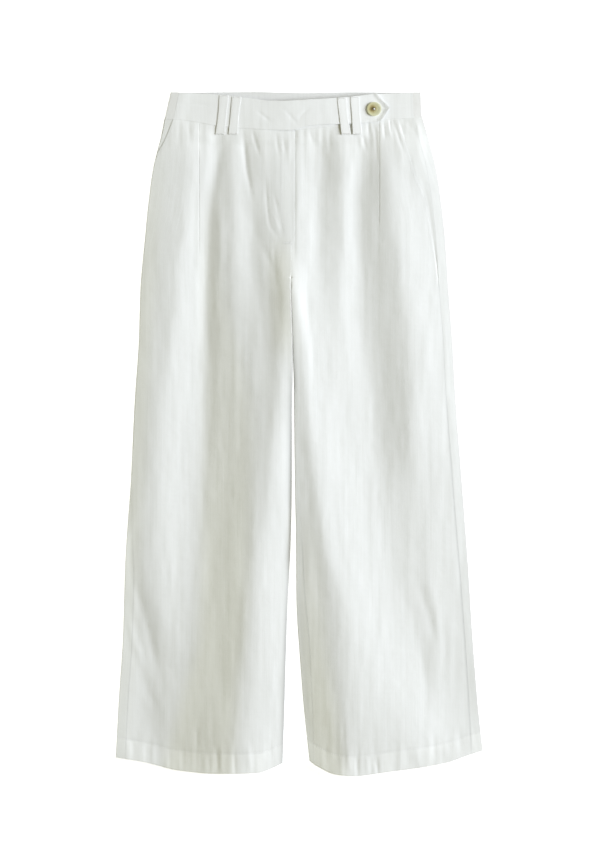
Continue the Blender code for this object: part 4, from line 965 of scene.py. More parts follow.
# %% Front rows
FLY_LAP, FLY_END, LAP_GONE, FLY_SINK, LEVEL_AGAIN = 4.6, 214.0, 226.0, 0.45, 250.0
SINK_FROM_CENTRE = (8.6, 4.9)
PLEATS = {
    RIGHT: (-142.0, ((41, 11.0), (130, 8.0), (175, 5.0), (214, 0.3))),
    LEFT: (113.0, ((41, 11.0), (95, 8.0), (130, 5.0), (175, 0.3))),
}
PLEAT_SLACK, PLEAT_FADE = 0.1, 14.0
AFTER_PLEAT = (0.6, 0.9, 1.5, 2.6)       # columns that hold the shape just past the pleat's fold
OPENED_PLEAT = (-0.25, 0.37, 15)         # where its columns lie once it has run out, and how many there are
BEFORE_FOLD, PAST_FOLD = 2.0, 4.0        # the plain columns end and start again this far from the fold
STACK = 2 * WALL + 2 * PLEAT_SLACK


def pleat_place(section):
    return abs(section.edge - PLEATS[section.side][0])


def pleat_depth(side, drop):
    depths = np.array(PLEATS[side][1])
    return float(np.interp(drop, depths[:, 0], depths[:, 1]))


def pleat_share(side, drop):
    """1 while the pleat is folded, fading to 0 where its crease has run out."""
    end = PLEATS[side][1][-1][0]
    return float(1 - ramp(drop, end, end + PLEAT_FADE))


def pleat_points(section, fold_t, depth):
    """The outer face round a pleat, from the side inwards."""
    radius = WALL + PLEAT_SLACK / 2
    turn_in = fold_t + depth
    points = ((fold_t - 0.25, 0.0), (fold_t - 0.18, 0.03), (fold_t - 0.12, 0.12),
              (fold_t - 0.06, STACK * 0.6), (fold_t + 0.02, STACK), (turn_in, STACK),
              (turn_in + 0.04, STACK - 0.02), (turn_in + 0.06, STACK - PLEAT_SLACK / 2),
              (turn_in + 0.04, 2 * radius + 0.02), (turn_in, 2 * radius), (fold_t + radius, 2 * radius),
              (fold_t + 0.3 * radius, 1.7 * radius), (fold_t, radius), (fold_t + 0.3 * radius, 0.3 * radius),
              (fold_t + radius, 0.0))
    normals = ((0, 1), (0.3, 0.95), (0.6, 0.8), (0.8, 0.6), (0.1, 1), (0, 1), (-0.7, 0.7), (-1, 0),
               (-0.7, -0.7), (0, -1), (0, -1), (-0.7, -0.7), (-1, 0), (-0.7, 0.7), (0, 1))
    t, below = np.array(points).T
    z = front_height(section.x(t), section.drop, section.side) - below
    return np.column_stack([t, z]), np.array(normals)


def front_path(section):
    """The front's outer face; the left one is sunk under the fly's lap."""
    side, drop = section.side, section.drop

    def sink(t):
        if side == RIGHT or drop >= LEVEL_AGAIN:
            return 0 * t
        level = np.clip((LEVEL_AGAIN - drop) / (LEVEL_AGAIN - LAP_GONE), 0.0, 1.0)
        start, end = (section.width - distance for distance in SINK_FROM_CENTRE)
        return FLY_SINK * level * ramp(t, start, end)

    end = section.width + (FLY_LAP if side == RIGHT and drop <= FLY_END else 0.0)
    return Path(section.upper(sink, end), 1)


def seam_inset(side, drop):
    return float(column(SEAM_INSETS, 1 if side == RIGHT else 4, drop))


def inseam_inset(side, drop):
    return float(column(SEAM_INSETS, 2 if side == RIGHT else 3, drop))


def front_start(side, drop):
    return max(seam_inset(side, drop), float(column(POCKETS[side], 1, drop)))


SIDE_COLUMNS, INNER_COLUMNS = 44, 78


def side_lengths(section, path):
    """Lengths of the front's columns between its side edge and its pleat."""
    first = path.length_at(front_start(section.side, section.drop)) + SEAM / 2
    return path.spaced(first, path.length_at(pleat_place(section) - BEFORE_FOLD), SIDE_COLUMNS)


def front_row(side, drop):
    section = Section(side, drop)
    path = front_path(section)
    fold_t, share = pleat_place(section), pleat_share(side, drop)
    end = path.points[-1, 0]
    last = path.length_at(end - inseam_inset(side, drop)) - SEAM / 2
    after = path.length_at(fold_t + PAST_FOLD)
    plain, plain_normals = path.at(path.length_at(fold_t + np.linspace(*OPENED_PLEAT)))
    pleat, pleat_normals = pleat_points(section, fold_t, pleat_depth(side, drop))
    pleat = share * pleat + (1 - share) * plain
    pleat_normals = share * pleat_normals + (1 - share) * plain_normals
    pleat_normals /= np.linalg.norm(pleat_normals, axis=1)[:, None]
    rows = [path.at(side_lengths(section, path)), (pleat, pleat_normals),
            path.at(path.length_at(fold_t + np.array(AFTER_PLEAT))),
            path.at(path.spaced(after, last, INNER_COLUMNS))]
    points, normals = (np.concatenate([row[k] for row in rows]) for k in (0, 1))
    return section.row(points, normals)


FINE_ABOVE, FINE_BELOW = 96.0, 890.0


def row_drops(start, end, fine, coarse):
    """Rows close together near the waist and the hem, and wider between."""
    marks = (start, FINE_ABOVE, FINE_BELOW, end)
    parts = [np.arange(marks[0], min(marks[1], end), fine)]
    if end > marks[1]:
        parts.append(np.arange(marks[1], min(marks[2], end), coarse))
    if end > marks[2]:
        parts.append(np.arange(marks[2], end, fine))
    return np.r_[np.concatenate(parts), end]


HEM_TURN = 30.0             # depth of cloth turned up inside the hem
HEM_FOLD_ROWS, HEM_INNER_ROWS = 6, 8


def turned_hem(points, normals):
    """Adds the part of the cloth that is folded up inside the hem, one ply under the outside."""
    away = points[-1] - points[-2]
    away /= np.linalg.norm(away, axis=1)[:, None]
    radius = WALL + GAP / 2
    more, more_normals = [], []
    for angle in split(0, math.pi, HEM_FOLD_ROWS)[1:]:
        outward = math.cos(angle) * normals[-1] + math.sin(angle) * away
        more.append(points[-1] + radius * (outward - normals[-1]))
        more_normals.append(outward)
    rise = points[-1, :, 1].mean()
    for height in split(0, HEM_TURN, HEM_INNER_ROWS)[1:]:
        row = int(np.argmin(np.abs(points[:, :, 1].mean(axis=1) - rise - height)))
        more.append(points[row] - 2 * radius * normals[row])
        more_normals.append(-normals[row])
    return np.concatenate([points, more]), np.concatenate([normals, more_normals])


def panel(name, side, row_of, waist_line, finish, end=HEM_ROW, fine=2.0, coarse=3.4):
    """A piece from the waist seam down to the hem, or down to end."""
    nominal = row_drops(WAIST_ROW, end, fine, coarse)
    rows = [row_of(side, float(drop)) for drop in nominal]
    drops = [placed_drop(row[0], drop, waist_line, HEM_LINES[side]) for row, drop in zip(rows, nominal)]
    points, normals = finish_rows(rows, drops)
    dipped = 1 - ramp(nominal - WAIST_ROW, BAND_OVER, BAND_DIP[1])
    under_band = (points[:, :, 2] > SIDE_MID) * dipped[:, None]
    points[:, :, 2] -= BAND_DIP[0] * under_band
    if end == HEM_ROW:
        points, normals = turned_hem(points, normals)
    return cloth(name, points, normals, WALL, finish)


front_right = panel("right_front", RIGHT, front_row, FRONT_SEAM, FRONT_LINEN)
front_left = panel("left_front", LEFT, front_row, FRONT_SEAM, FRONT_LINEN)
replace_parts(front_right, "front_panel_right")
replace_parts(front_left, "front_panel_left")

# %% [markdown]
# ## The backs and the pocket facings
# A back panel lies flat on the table, turns up round the side and the inseam, and comes on to the front as
# far as its seam shows. A pocket facing is the cloth seen inside the slanted pocket; it is tucked under the
# front's edge.

# %% Back and facing rows
RISE_STRIP = 12.0           # breadth of the finer columns along the rise
WRAP_COLUMNS, FLAT_COLUMNS = 30, 16
FACING_COLUMNS, TUCKED_COLUMNS = 12, 16      # of a pocket facing: in sight, and under the front's edge
FACING_START, TUCK_SHARE = 2.2, 0.7
CLEAR = 0.05                # two runs of points that meet are kept this far apart


def wrapped_path(section, side_wrap, inner_wrap):
    """From a line on the front, round the side edge, under, and up round the inner edge."""
    upper = section.upper()
    first = Path(upper, 1)
    pieces = []
    if side_wrap > 0:
        pieces.append(first.at(np.array([first.length_at(side_wrap)]))[0])
        pieces.append(upper[upper[:, 0] < side_wrap - CLEAR][::-1])
    pieces.append(section.lower())
    if inner_wrap > 0:
        start = section.width - inner_wrap
        pieces.append(upper[upper[:, 0] > start + CLEAR][::-1])
        pieces.append(first.at(np.array([first.length_at(start)]))[0])
    return Path(np.concatenate(pieces), -1)


def flat_from(path):
    """Length at which a wrapped path reaches the table."""
    return path.length[np.argmax(path.points[:, 1] < TINY)]


def back_row(side, drop):
    section = Section(side, drop)
    path = wrapped_path(section, seam_inset(side, drop), inseam_inset(side, drop))
    flat, flat_start = path.points[path.points[:, 1] < TINY], flat_from(path)
    flat_end = flat_start + flat[-1, 0] - flat[0, 0]
    if section.turn == 0:
        flat_end -= RISE_STRIP
    lengths = np.r_[path.spaced(SEAM / 2, flat_start, WRAP_COLUMNS),
                    split(flat_start, flat_end, FLAT_COLUMNS)[1:],
                    path.spaced(flat_end, path.length[-1] - SEAM / 2, WRAP_COLUMNS)[1:]]
    return section.row(*path.at(lengths))


def facing_row(side, drop):
    """Flush with the back at the side seam, then a ply lower where it runs under the front's edge."""
    section = Section(side, drop)
    path = front_path(section)
    under = side_lengths(section, path)[:TUCKED_COLUMNS]
    seam = path.length_at(seam_inset(side, drop)) + SEAM / 2
    first = max(seam, min(FACING_START, under[0] / 2))
    lengths = np.r_[split(first, under[0], FACING_COLUMNS)[:-1], under]
    point, normal = path.at(lengths)
    tucked = ramp(lengths, first, first + TUCK_SHARE * (under[0] - first))[:, None]
    low = WALL + GAP if side == RIGHT else (WALL + GAP) * tucked
    return section.row(point - low * normal, normal)


backs = {}
for side, word in ((RIGHT, "right"), (LEFT, "left")):
    backs[side] = panel(f"{word}_back", side, back_row, BACK_SEAM, BACK_LINEN, fine=3.0, coarse=5.0)
    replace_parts(backs[side], f"back_panel_{word}")
for side, word, end in ((RIGHT, "right", 95.0), (LEFT, "left", 277.0)):
    facing = panel(f"{word}_pocket_facing", side, facing_row, FRONT_SEAM, BACK_LINEN, end=end)
    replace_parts(facing, f"pocket_facing_{word}")

# %% [markdown]
# ## The waistband
# The back band lies flat and wraps round both sides. The left front band runs under the right one, which
# crosses the fly and ends in a pointed tab. The bands are two cloths with stiffening between, so they are
# thicker than the panels and their edges are full and round.

# %% Band rows
BAND_SIDE = 12.0
TAB = (
    (-10, 12.8, 54.8), (4, 12.2, 51.0), (16, 11.6, 48.4), (45, 9.6, 46.6), (72, 7.6, 45.8),
    (92, 5.2, 44.8), (109, 3.2, 43.0), (117, 12.0, 40.6), (127, 21.6, 24.8),
)
TAB_RISE, LEFT_BAND_END = (-64.0, -8.0), -6.0
BAND_WALL, SEAM_WALL, BAND_LIFT = 1.4, 0.15, 0.2
BAND_ENDS = (0.0, 0.006, 0.014, 0.026)   # shares of the depth that hold the round edges
BAND_ROUND, BAND_FALL = 1.2, 0.12
TIP_CURL, TIP_BREADTH = 1.0, 7.0         # how far the tab's pointed end curls up, and how broad the curl is
TIP_STARTS = (103.0, 109.0)
TIP_EDGES = (((109.0, 3.2), (127.0, 21.6)), ((127.0, 24.8), (117.0, 40.6)))
SEAM_THIN = (BAND_OVER + 0.3, 9.0)       # the band thins out this near its seam
BAND_ROWS, BAND_FLAT_COLUMNS, BAND_COLUMNS = 26, 50, 80
PLAIN_COLUMNS, TAB_COLUMNS, TAB_STEP = 40, 20, 1.9
PLAIN_END, TAB_START = -90, -88          # X where the right band's even columns end and finer ones start


def share_drop(x, share, top_line, seam_line):
    return line_drop(top_line, x) * (1 - share) + line_drop(seam_line, x) * share


def band_grid(columns, top_line, seam_line, count):
    """The band's outer face, rounded over at its two long edges, and its wall, thinner at the seam."""
    shares = np.unique(np.r_[BAND_ENDS, split(0, 1, count), 1 - np.array(BAND_ENDS)])
    rows = [columns(share) for share in shares]
    drops = np.array([share_drop(row[0], share, top_line, seam_line) for row, share in zip(rows, shares)])
    points, normals = finish_rows(rows, list(drops))
    on_front = points[:, :, 2] > SIDE_MID
    to_edge = np.minimum(drops - drops[0], drops[-1] - drops)
    fall = 1 - np.sqrt(1 - (1 - np.clip(to_edge / BAND_ROUND, 0, 1)) ** 2)
    points[:, :, 2] -= BAND_FALL * fall * on_front
    thin = np.where(on_front, 1 - ramp(drops[-1] - drops, *SEAM_THIN), 0)
    return points, normals, (BAND_WALL - (BAND_WALL - SEAM_WALL) * thin)[:, :, None]


def back_band_row(share):
    drop = WAIST_ROW * share
    halves = []
    for side in (RIGHT, LEFT):
        section = Section(side, drop)
        path = wrapped_path(section, BAND_SIDE, 0)
        flat_start = flat_from(path)
        lengths = np.r_[path.spaced(SEAM / 2, flat_start, WRAP_COLUMNS),
                        split(flat_start, path.length[-1], BAND_FLAT_COLUMNS)[1:]]
        point, normal = path.at(lengths)
        point = point + BAND_LIFT * normal * (point[:, 1:] > SIDE_MID)
        halves.append(section.row(point, normal))
    right, left = halves
    return [np.r_[a, b[::-1][1:]] for a, b in zip(right, left)]


def front_level(x, drop):
    """Height of the front's outer face at true places: on the band above the seam, or the panel."""
    x, drop = np.broadcast_arrays(np.asarray(x, float), np.asarray(drop, float))
    seam, top = line_drop(FRONT_SEAM, x), line_drop(FRONT_TOP, x)
    on_band = WAIST_ROW * np.maximum(drop - top, 0.0) / (seam - top)
    bend = seam - WAIST_ROW
    below = (drop - bend - WAIST_ROW * bend / WAIST_FADE) / (1 - bend / WAIST_FADE)
    nominal = np.where(drop <= seam, on_band, below)
    z = [float(front_height(a, b, RIGHT)) for a, b in zip(x.ravel(), nominal.ravel())]
    return np.array(z).reshape(x.shape)


def tab_lift(x):
    return BAND_LIFT + (BAND_WALL + GAP) * ramp(x, *TAB_RISE)


def tip_curl(x, drop):
    """Rise of the tab near the two edges of its point."""
    away = [((bx - ax) * (drop - ad) - (bd - ad) * (x - ax)) / math.hypot(bx - ax, bd - ad)
            for (ax, ad), (bx, bd) in TIP_EDGES]
    away = np.minimum(np.maximum(away[0], 0), np.maximum(away[1], 0))
    return TIP_CURL * (1 - ramp(away, 0, TIP_BREADTH)) * ramp(x, *TIP_STARTS)


def front_band_row(places, top_line, seam_line, lift):
    def columns(share):
        xs = places(WAIST_ROW * share)
        drops = share_drop(xs, share, top_line, seam_line)
        z = front_level(xs, drops) + lift(xs, drops)
        slope = np.gradient(z, xs)
        scale = 1 / np.sqrt(1 + slope ** 2)
        return xs, z, -slope * scale, scale
    return columns


def right_places(drop):
    start = side_edge(RIGHT, drop) + BAND_SIDE + SEAM / 2
    point_start, tip = TAB[-3][0], TAB[-1][0]
    return np.r_[np.linspace(start, PLAIN_END, PLAIN_COLUMNS), np.arange(TAB_START, point_start, TAB_STEP),
                 np.linspace(point_start, tip, TAB_COLUMNS)]


def left_places(drop):
    end = side_edge(LEFT, drop) - BAND_SIDE - SEAM / 2
    return np.linspace(LEFT_BAND_END, end, BAND_COLUMNS)


tab_top = tuple(p for p in FRONT_TOP if p[0] < TAB[0][0]) + tuple((x, top) for x, top, _ in TAB)
tab_foot = tuple(p for p in FRONT_SEAM if p[0] < TAB[0][0]) + tuple((x, foot) for x, _, foot in TAB)
left_columns = front_band_row(left_places, FRONT_TOP, FRONT_SEAM, lambda x, drop: BAND_LIFT + 0 * x)
right_columns = front_band_row(right_places, tab_top, tab_foot,
                               lambda x, drop: tab_lift(x) + tip_curl(x, drop))
bands = {}
for name, columns, top, foot, finish, node_name in (
    ("back_band", back_band_row, BACK_TOP, BACK_SEAM, INNER_BAND_SHADED_LINEN, "waistband_back"),
    ("left_band", left_columns, FRONT_TOP, FRONT_SEAM, BAND_LINEN, "waistband_front_left"),
    ("right_band_with_tab", right_columns, tab_top, tab_foot, BAND_LINEN, "waistband_front_right"),
):
    bands[name] = cloth(name, *band_grid(columns, top, foot, BAND_ROWS), finish)
    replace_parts(bands[name], node_name)

# %% [markdown]
# ## Belt loops
# A belt loop is a narrow strip, folded and stitched, laid over the band and sewn down at both ends. It
# stands off the band between them, so that a shadow falls beside it.

# %% Loops
LOOPS = (
    ("belt_loop_right_outer", -107.0, -112.5, 0.2), ("belt_loop_right_inner", -89.0, -94.0, -0.6),
    ("belt_loop_left_inner", 60.2, 66.4, -0.9), ("belt_loop_left_outer", 78.6, 82.2, -0.4),
)
LOOP_WIDTH, LOOP_WALL, LOOP_ARCH, LOOP_DOME = 13.0, 0.4, 0.25, 0.08
LOOP_INSET, LOOP_BOTTOM = 0.4, 61.0          # from the band's top edge, and the drop of the lower end
LOOP_WAIST, LOOP_GAP = 0.10, 0.05            # narrowing at the middle, air under the loop
LOOP_RELIEF = 0.3                            # share of the creases that it shows
LOOP_ROWS, LOOP_COLUMNS = 44, 12


def loop_shape(top_x, bottom_x, bend, share):
    """Top of a loop, and its middle and breadth at each share of its length."""
    top = float(line_drop(FRONT_TOP, (top_x + bottom_x) / 2)) + LOOP_INSET
    swing = np.sin(np.pi * share)
    middle = top_x + (bottom_x - top_x) * share + bend * swing
    return top, middle, LOOP_WIDTH * (1 - LOOP_WAIST * swing ** 2)


def belt_loop(name, top_x, bottom_x, bend):
    """A strip from top_x to bottom_x that bends sideways a little, domed across its width."""
    share, across = split(0, 1, LOOP_ROWS)[:, None], split(-0.5, 0.5, LOOP_COLUMNS)[None, :]
    top, middle, width = loop_shape(top_x, bottom_x, bend, share)
    drop = top + (LOOP_BOTTOM - top) * share + 0 * across
    x = middle + across * width
    rise = LOOP_ARCH * np.sin(np.pi * share) ** 0.7 + LOOP_DOME * (1 - (2 * across) ** 2)
    relief = LOOP_RELIEF * (creases(x, drop) + unevenness(x, drop))
    z = front_level(x, drop) + tab_lift(x) + LOOP_GAP + LOOP_WALL + rise + relief
    points = np.stack([x, LENGTH / 2 - drop, z], axis=-1)
    slope = np.gradient(z, axis=1) / np.gradient(x, axis=1)
    normals = np.stack([-slope, 0 * slope, 1 + 0 * slope], axis=-1)
    normals /= np.linalg.norm(normals, axis=2)[:, :, None]
    made = cloth(name + "_strip", points, normals, LOOP_WALL, LOOP_LINEN_PAINTED_LIGHT)
    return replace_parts(made, name)


loops = [belt_loop(*row) for row in LOOPS]

# %% [markdown]
# ## Stitches
# Lockstitches show as short grains of thread in a row, each sunk a little in the cloth. Every row follows a
# line on the garment: the hems, the fly, the pocket edges, the tab and the belt loops. The finished cloth
# is found under each stitch by a ray from above, or from below for the back hems, so that none floats. An
# array along a curve would do it too, but it could not follow the folds.

# %% Thread
THREAD_R, STITCH, PITCH = 0.15, 2.1, 2.8
# Along the stitch, share of the thread's radius, rise: five rings make one grain of thread.
GRAIN = ((-1.0, 0.25, -0.16), (-0.7, 0.85, 0.0), (0.0, 1.0, 0.05), (0.7, 0.85, 0.0), (1.0, 0.25, -0.16))
GRAIN_SIDES, SUNK = 6, -0.15
AIM = 0.4                   # a stitch takes its direction from the line this far before and after it
STEEPEST = 0.6              # no stitch where the cloth steps by more than this share of its length
RAY_START = 200             # height from which the cloth is looked for


def thread_white():
    """White cotton thread: two plies that twist round each other, seen as slanting lines."""
    made, tree, shader = new_material("white thread")
    place = node(tree, "ShaderNodeTexCoord").outputs["Object"]
    ply = node(tree, "ShaderNodeTexWave", [(0, place)], bands_direction="DIAGONAL")
    give(ply, Scale=900.0)
    tint = node(tree, "ShaderNodeMapRange", [(0, ply.outputs[1])], in_3=0.74, in_4=0.80)
    colour = node(tree, "ShaderNodeCombineColor", [(channel, tint.outputs[0]) for channel in range(3)])
    tree.links.new(colour.outputs[0], shader.inputs["Base Color"])
    bump = node(tree, "ShaderNodeBump", [("Height", ply.outputs[1])])
    give(bump, Distance=0.00004)
    tree.links.new(bump.outputs[0], shader.inputs["Normal"])
    give(shader, Roughness=0.6, Sheen_Weight=0.2)
    return made


THREAD = thread_white()


def faces_of(*objects):
    """The finished faces of some pieces, ready to be met by a ray."""
    corners, faces = [], []
    for obj in objects:
        start = len(corners)
        corners += [v.co.copy() for v in obj.data.vertices]
        faces += [[start + i for i in p.vertices] for p in obj.data.polygons]
    return BVHTree.FromPolygons(corners, faces)


def cloth_at(tree, x, drop, above):
    """Point and normal where the cloth is met at a place, from above or from below."""
    start = Vector((x, LENGTH / 2 - drop, RAY_START if above else -RAY_START)) * MM
    return tree.ray_cast(start, Vector((0, 0, -1 if above else 1)))[:2]


def steps_along(line, pitch):
    """Middles of the stitches of a line, with their directions."""
    line = np.array(line, float)
    lengths = np.r_[0, np.cumsum(np.linalg.norm(np.diff(line, axis=0), axis=1))]
    at = np.arange(pitch / 2, lengths[-1], pitch)
    ends = [np.column_stack([np.interp(at + shift, lengths, line[:, k]) for k in (0, 1)])
            for shift in (-AIM, AIM)]
    return (ends[0] + ends[1]) / 2, (ends[1] - ends[0]) / (2 * AIM)


def grain(place, along, out, length, radius):
    """Corners of one stitch: rings of GRAIN_SIDES round its length."""
    side = along.cross(out).normalized()
    out = side.cross(along)
    corners = []
    for share, thick, rise in GRAIN:
        middle = place + along * (share * length / 2) + out * (rise * radius / THREAD_R + SUNK * radius)
        for k in range(GRAIN_SIDES):
            angle = 2 * math.pi * k / GRAIN_SIDES
            corners.append(middle + (side * math.cos(angle) + out * math.sin(angle)) * (thick * radius))
    return corners


def grain_faces(start):
    rings = range(len(GRAIN) - 1)
    faces = [[start + r * GRAIN_SIDES + k, start + r * GRAIN_SIDES + (k + 1) % GRAIN_SIDES,
              start + (r + 1) * GRAIN_SIDES + (k + 1) % GRAIN_SIDES, start + (r + 1) * GRAIN_SIDES + k]
             for r in rings for k in range(GRAIN_SIDES)]
    last = start + len(GRAIN) * GRAIN_SIDES
    caps = [list(range(start + GRAIN_SIDES - 1, start - 1, -1)), list(range(last - GRAIN_SIDES, last))]
    return faces + caps


def thread_piece(name, grains, slot):
    """One piece from (place, along, out, length, radius) of each stitch, in millimetres."""
    corners, faces = [], []
    for one in grains:
        faces += grain_faces(len(corners))
        corners += [corner * MM for corner in grain(*one)]
    mesh = bpy.data.meshes.new(name)
    mesh.from_pydata(corners, [], faces)
    bm = bmesh.new()
    bm.from_mesh(mesh)
    bmesh.ops.recalc_face_normals(bm, faces=bm.faces)
    bm.to_mesh(mesh)
    bm.free()
    obj = linked(name, mesh, THREAD)
    print(f"{name}: {len(grains)} stitches")
    return obj


def stitch_rows(tree, lines, above=True, pitch=PITCH, length=STITCH, across=False):
    """Stitches along some lines, or across them as in a bar tack."""
    grains = []
    for line in lines:
        for (x, drop), (dx, dd) in zip(*steps_along(line, pitch)):
            if across:
                dx, dd = -dd, dx
            meets = [cloth_at(tree, x + share * dx * length, drop + share * dd * length, above)
                     for share in (-0.5, 0, 0.5)]
            if any(place is None for place, _ in meets):
                continue
            (start, _), (place, normal), (end, _) = meets
            if abs(end.z - start.z) > STEEPEST * length * MM:
                continue
            out = normal if (normal.z > 0) == above else -normal
            grains.append((place / MM, (end - start).normalized(), out, length, THREAD_R))
    return grains


# %% Rows of stitches
def hem_line(side, margin=3.0):
    start, end = (side_edge(side, HEM_ROW), inner_edge(side, HEM_ROW))
    xs = np.linspace(start - side * margin, end + side * margin, 40)
    return np.column_stack([xs, hem_drop(xs) - HEM_DEPTH])


def pocket_line(side, inside=2.4):
    drops = np.arange(POCKETS[side][0][0] + 12, 95.0 if side == RIGHT else 276.0, 6.0)
    return [(side_edge(side, d) - side * (float(column(POCKETS[side], 1, d)) + inside), d) for d in drops]


FLY_STITCH = ((-26, 58), (-26, 110), (-26, 150), (-25.4, 178), (-23, 195), (-18.5, 207), (-12, 213.5))
FLY_TACK = ((-24, 214.5), (-9, 214.0))
BUTTONHOLE = [[(105, drop), (118.6, drop)] for drop in (23.2, 25.4)]
TAB_STITCH = ((92, 8.2), (108.6, 6.6), (116, 14.2), (123.6, 22.4), (123.4, 24.0), (115.2, 38.0),
(108.6, 40.2),
              (92, 42.0))
right_cloth, left_cloth = faces_of(front_right, backs[RIGHT]), faces_of(front_left, backs[LEFT])
stitched = {
    "right_front": stitch_rows(right_cloth, [hem_line(RIGHT), pocket_line(RIGHT), FLY_STITCH])
    + stitch_rows(right_cloth, [FLY_TACK], pitch=0.55, length=1.9, across=True),
    "left_front": stitch_rows(left_cloth, [hem_line(LEFT), pocket_line(LEFT)]),
    "right_back": stitch_rows(right_cloth, [hem_line(RIGHT, 8.0)], above=False),
    "left_back": stitch_rows(left_cloth, [hem_line(LEFT, 8.0)], above=False),
}
tab_cloth = faces_of(bands["right_band_with_tab"])
stitched["right_band_with_tab"] = stitch_rows(tab_cloth, [TAB_STITCH]) + stitch_rows(
    tab_cloth, BUTTONHOLE, pitch=0.6, length=1.7, across=True)
LOOP_STITCH_END, LOOP_STITCH_SIDE = 1.0, 1.5     # how far in from a loop's ends and its sides
for made, (_, top_x, bottom_x, bend) in zip(loops, LOOPS):
    share = split(0, 1, 12)
    top, middle, breadth = loop_shape(top_x, bottom_x, bend, share)
    drops = top + LOOP_STITCH_END + (LOOP_BOTTOM - top - 2 * LOOP_STITCH_END) * share
    half = breadth / 2 - LOOP_STITCH_SIDE
    lines = [np.column_stack([middle + way * half, drops]) for way in (-1, 1)]
    tree = faces_of(made)
    tacks = [[(middle[k] - half[k], drops[k]), (middle[k] + half[k], drops[k])] for k in (0, -1)]
    bars = stitch_rows(tree, tacks, pitch=0.6, length=1.6, across=True)
    stitched[made.name] = stitch_rows(tree, lines) + bars
for name, grains in stitched.items():
    thread_piece(name + "_stitches", grains, SLOTS[name])

# %% [markdown]
# ## What each piece was cut to
# Every piece of cloth is listed with the flat size it was cut to, as far as it shows.

# %% Cuts
print(len(CUTS), "pieces of cloth declared")

# %% [markdown]
# ## The button
# A trouser button is turned from horn: a raised rim, a dished middle and four holes. It starts as a
# cylinder; its top is inset and pushed down for the dish, its edges are bevelled, and the holes are cut
# with a boolean. Then it is turned to lie on the tab.

# %% Button
BUTTON_AT, BUTTON_R, BUTTON_H, DISH = (105.8, 25.2), 10.0, 1.9, 0.45
HOLE_R, HOLE_OUT = 0.9, 1.8
HORN_HEART = 0.0024      # the dark heart of the horn lies this far to one side, in metres
HORN_UNEVEN = 0.0035     # how far its rings wander, in metres
HORN_RINGS = ((0.0, (0.13, 0.09, 0.025)), (0.18, (0.17, 0.125, 0.04)), (0.36, (0.33, 0.27, 0.115)),
              (0.56, (0.50, 0.46, 0.25)), (0.80, (0.60, 0.585, 0.37)), (1.0, (0.66, 0.66, 0.46)))
RIM_BREADTH, DISH_SLOPE, DISH_FLOOR, UNDERSIDE_RIM, TURNED_EDGE = 2.2, 1.4, 2.0, 1.6, 0.4
THREAD_THICK, THREAD_OVER_DISH = 0.55, 0.25
THREAD_CROSSING, THREAD_PAST_HOLES = 0.3, 0.6    # rise of the upper thread, and the length past the holes


def only_faces(obj, keep):
    """In edit mode, selects the faces whose centre and normal pass the test."""
    bm = bmesh.from_edit_mesh(obj.data)
    for face in bm.faces:
        face.select_set(bool(keep(face.calc_center_median(), face.normal)))
    bm.select_flush_mode()
    bmesh.update_edit_mesh(obj.data)


def horn():
    """Horn: a pale rim, a tan body and a dark middle, with fine flow lines."""
    made, tree, shader = new_material("horn")
    place = node(tree, "ShaderNodeUVMap", uv_map="disc").outputs[0]
    aside = node(tree, "ShaderNodeVectorMath", [(0, place)], operation="ADD")
    aside.inputs[1].default_value = (HORN_HEART, -0.25 * HORN_HEART, 0)
    centred = node(tree, "ShaderNodeVectorMath", [(0, aside.outputs[0])], operation="LENGTH")
    noise = noise_of(tree, place, 260.0, 4.0)
    uneven = math_node(tree, "MULTIPLY", math_node(tree, "SUBTRACT", noise.outputs[0], 0.5), HORN_UNEVEN)
    radius = math_node(tree, "DIVIDE", math_node(tree, "ADD", centred.outputs[1], uneven), BUTTON_R * MM)
    ramp_node = node(tree, "ShaderNodeValToRGB", [(0, radius)])
    while len(ramp_node.color_ramp.elements) < len(HORN_RINGS):
        ramp_node.color_ramp.elements.new(0.5)
    for element, (at, colour) in zip(ramp_node.color_ramp.elements, HORN_RINGS):
        element.position, element.color = at, (*colour, 1)
    tree.links.new(ramp_node.outputs[0], shader.inputs["Base Color"])
    give(shader, Roughness=0.42, Coat_Weight=0.12, Coat_Roughness=0.2)
    return made


bpy.ops.object.select_all(action="DESELECT")
bpy.ops.mesh.primitive_cylinder_add(vertices=64, radius=BUTTON_R * MM, depth=BUTTON_H * MM,
                                    location=(0, 0, BUTTON_H / 2 * MM))
button = bpy.context.object
button.name = "horn_button"
bpy.ops.object.transform_apply(location=True)
bpy.ops.object.mode_set(mode="EDIT")
bpy.ops.mesh.select_mode(type="FACE")
only_faces(button, lambda centre, normal: normal.z > 0.9)
bpy.ops.mesh.inset(thickness=RIM_BREADTH * MM)
bpy.ops.mesh.inset(thickness=DISH_SLOPE * MM)
bpy.ops.transform.translate(value=(0, 0, -DISH * MM))
bpy.ops.mesh.inset(thickness=DISH_FLOOR * MM)
only_faces(button, lambda centre, normal: normal.z < -0.9)
bpy.ops.mesh.inset(thickness=UNDERSIDE_RIM * MM)
bpy.ops.object.mode_set(mode="OBJECT")
for quarter in range(4):
    angle = math.pi / 4 + quarter * math.pi / 2
    bpy.ops.object.select_all(action="DESELECT")
    bpy.ops.mesh.primitive_cylinder_add(
        vertices=20, radius=HOLE_R * MM, depth=0.02,
        location=(HOLE_OUT * MM * math.cos(angle), HOLE_OUT * MM * math.sin(angle), 0))
    cutter = bpy.context.object
    cut = button.modifiers.new("thread hole", "BOOLEAN")
    cut.operation, cut.object = "DIFFERENCE", cutter
    bpy.context.view_layer.objects.active = button
    bpy.ops.object.modifier_apply(modifier=cut.name)
    bpy.data.objects.remove(cutter, do_unlink=True)
bevel = button.modifiers.new("turned edge", "BEVEL")
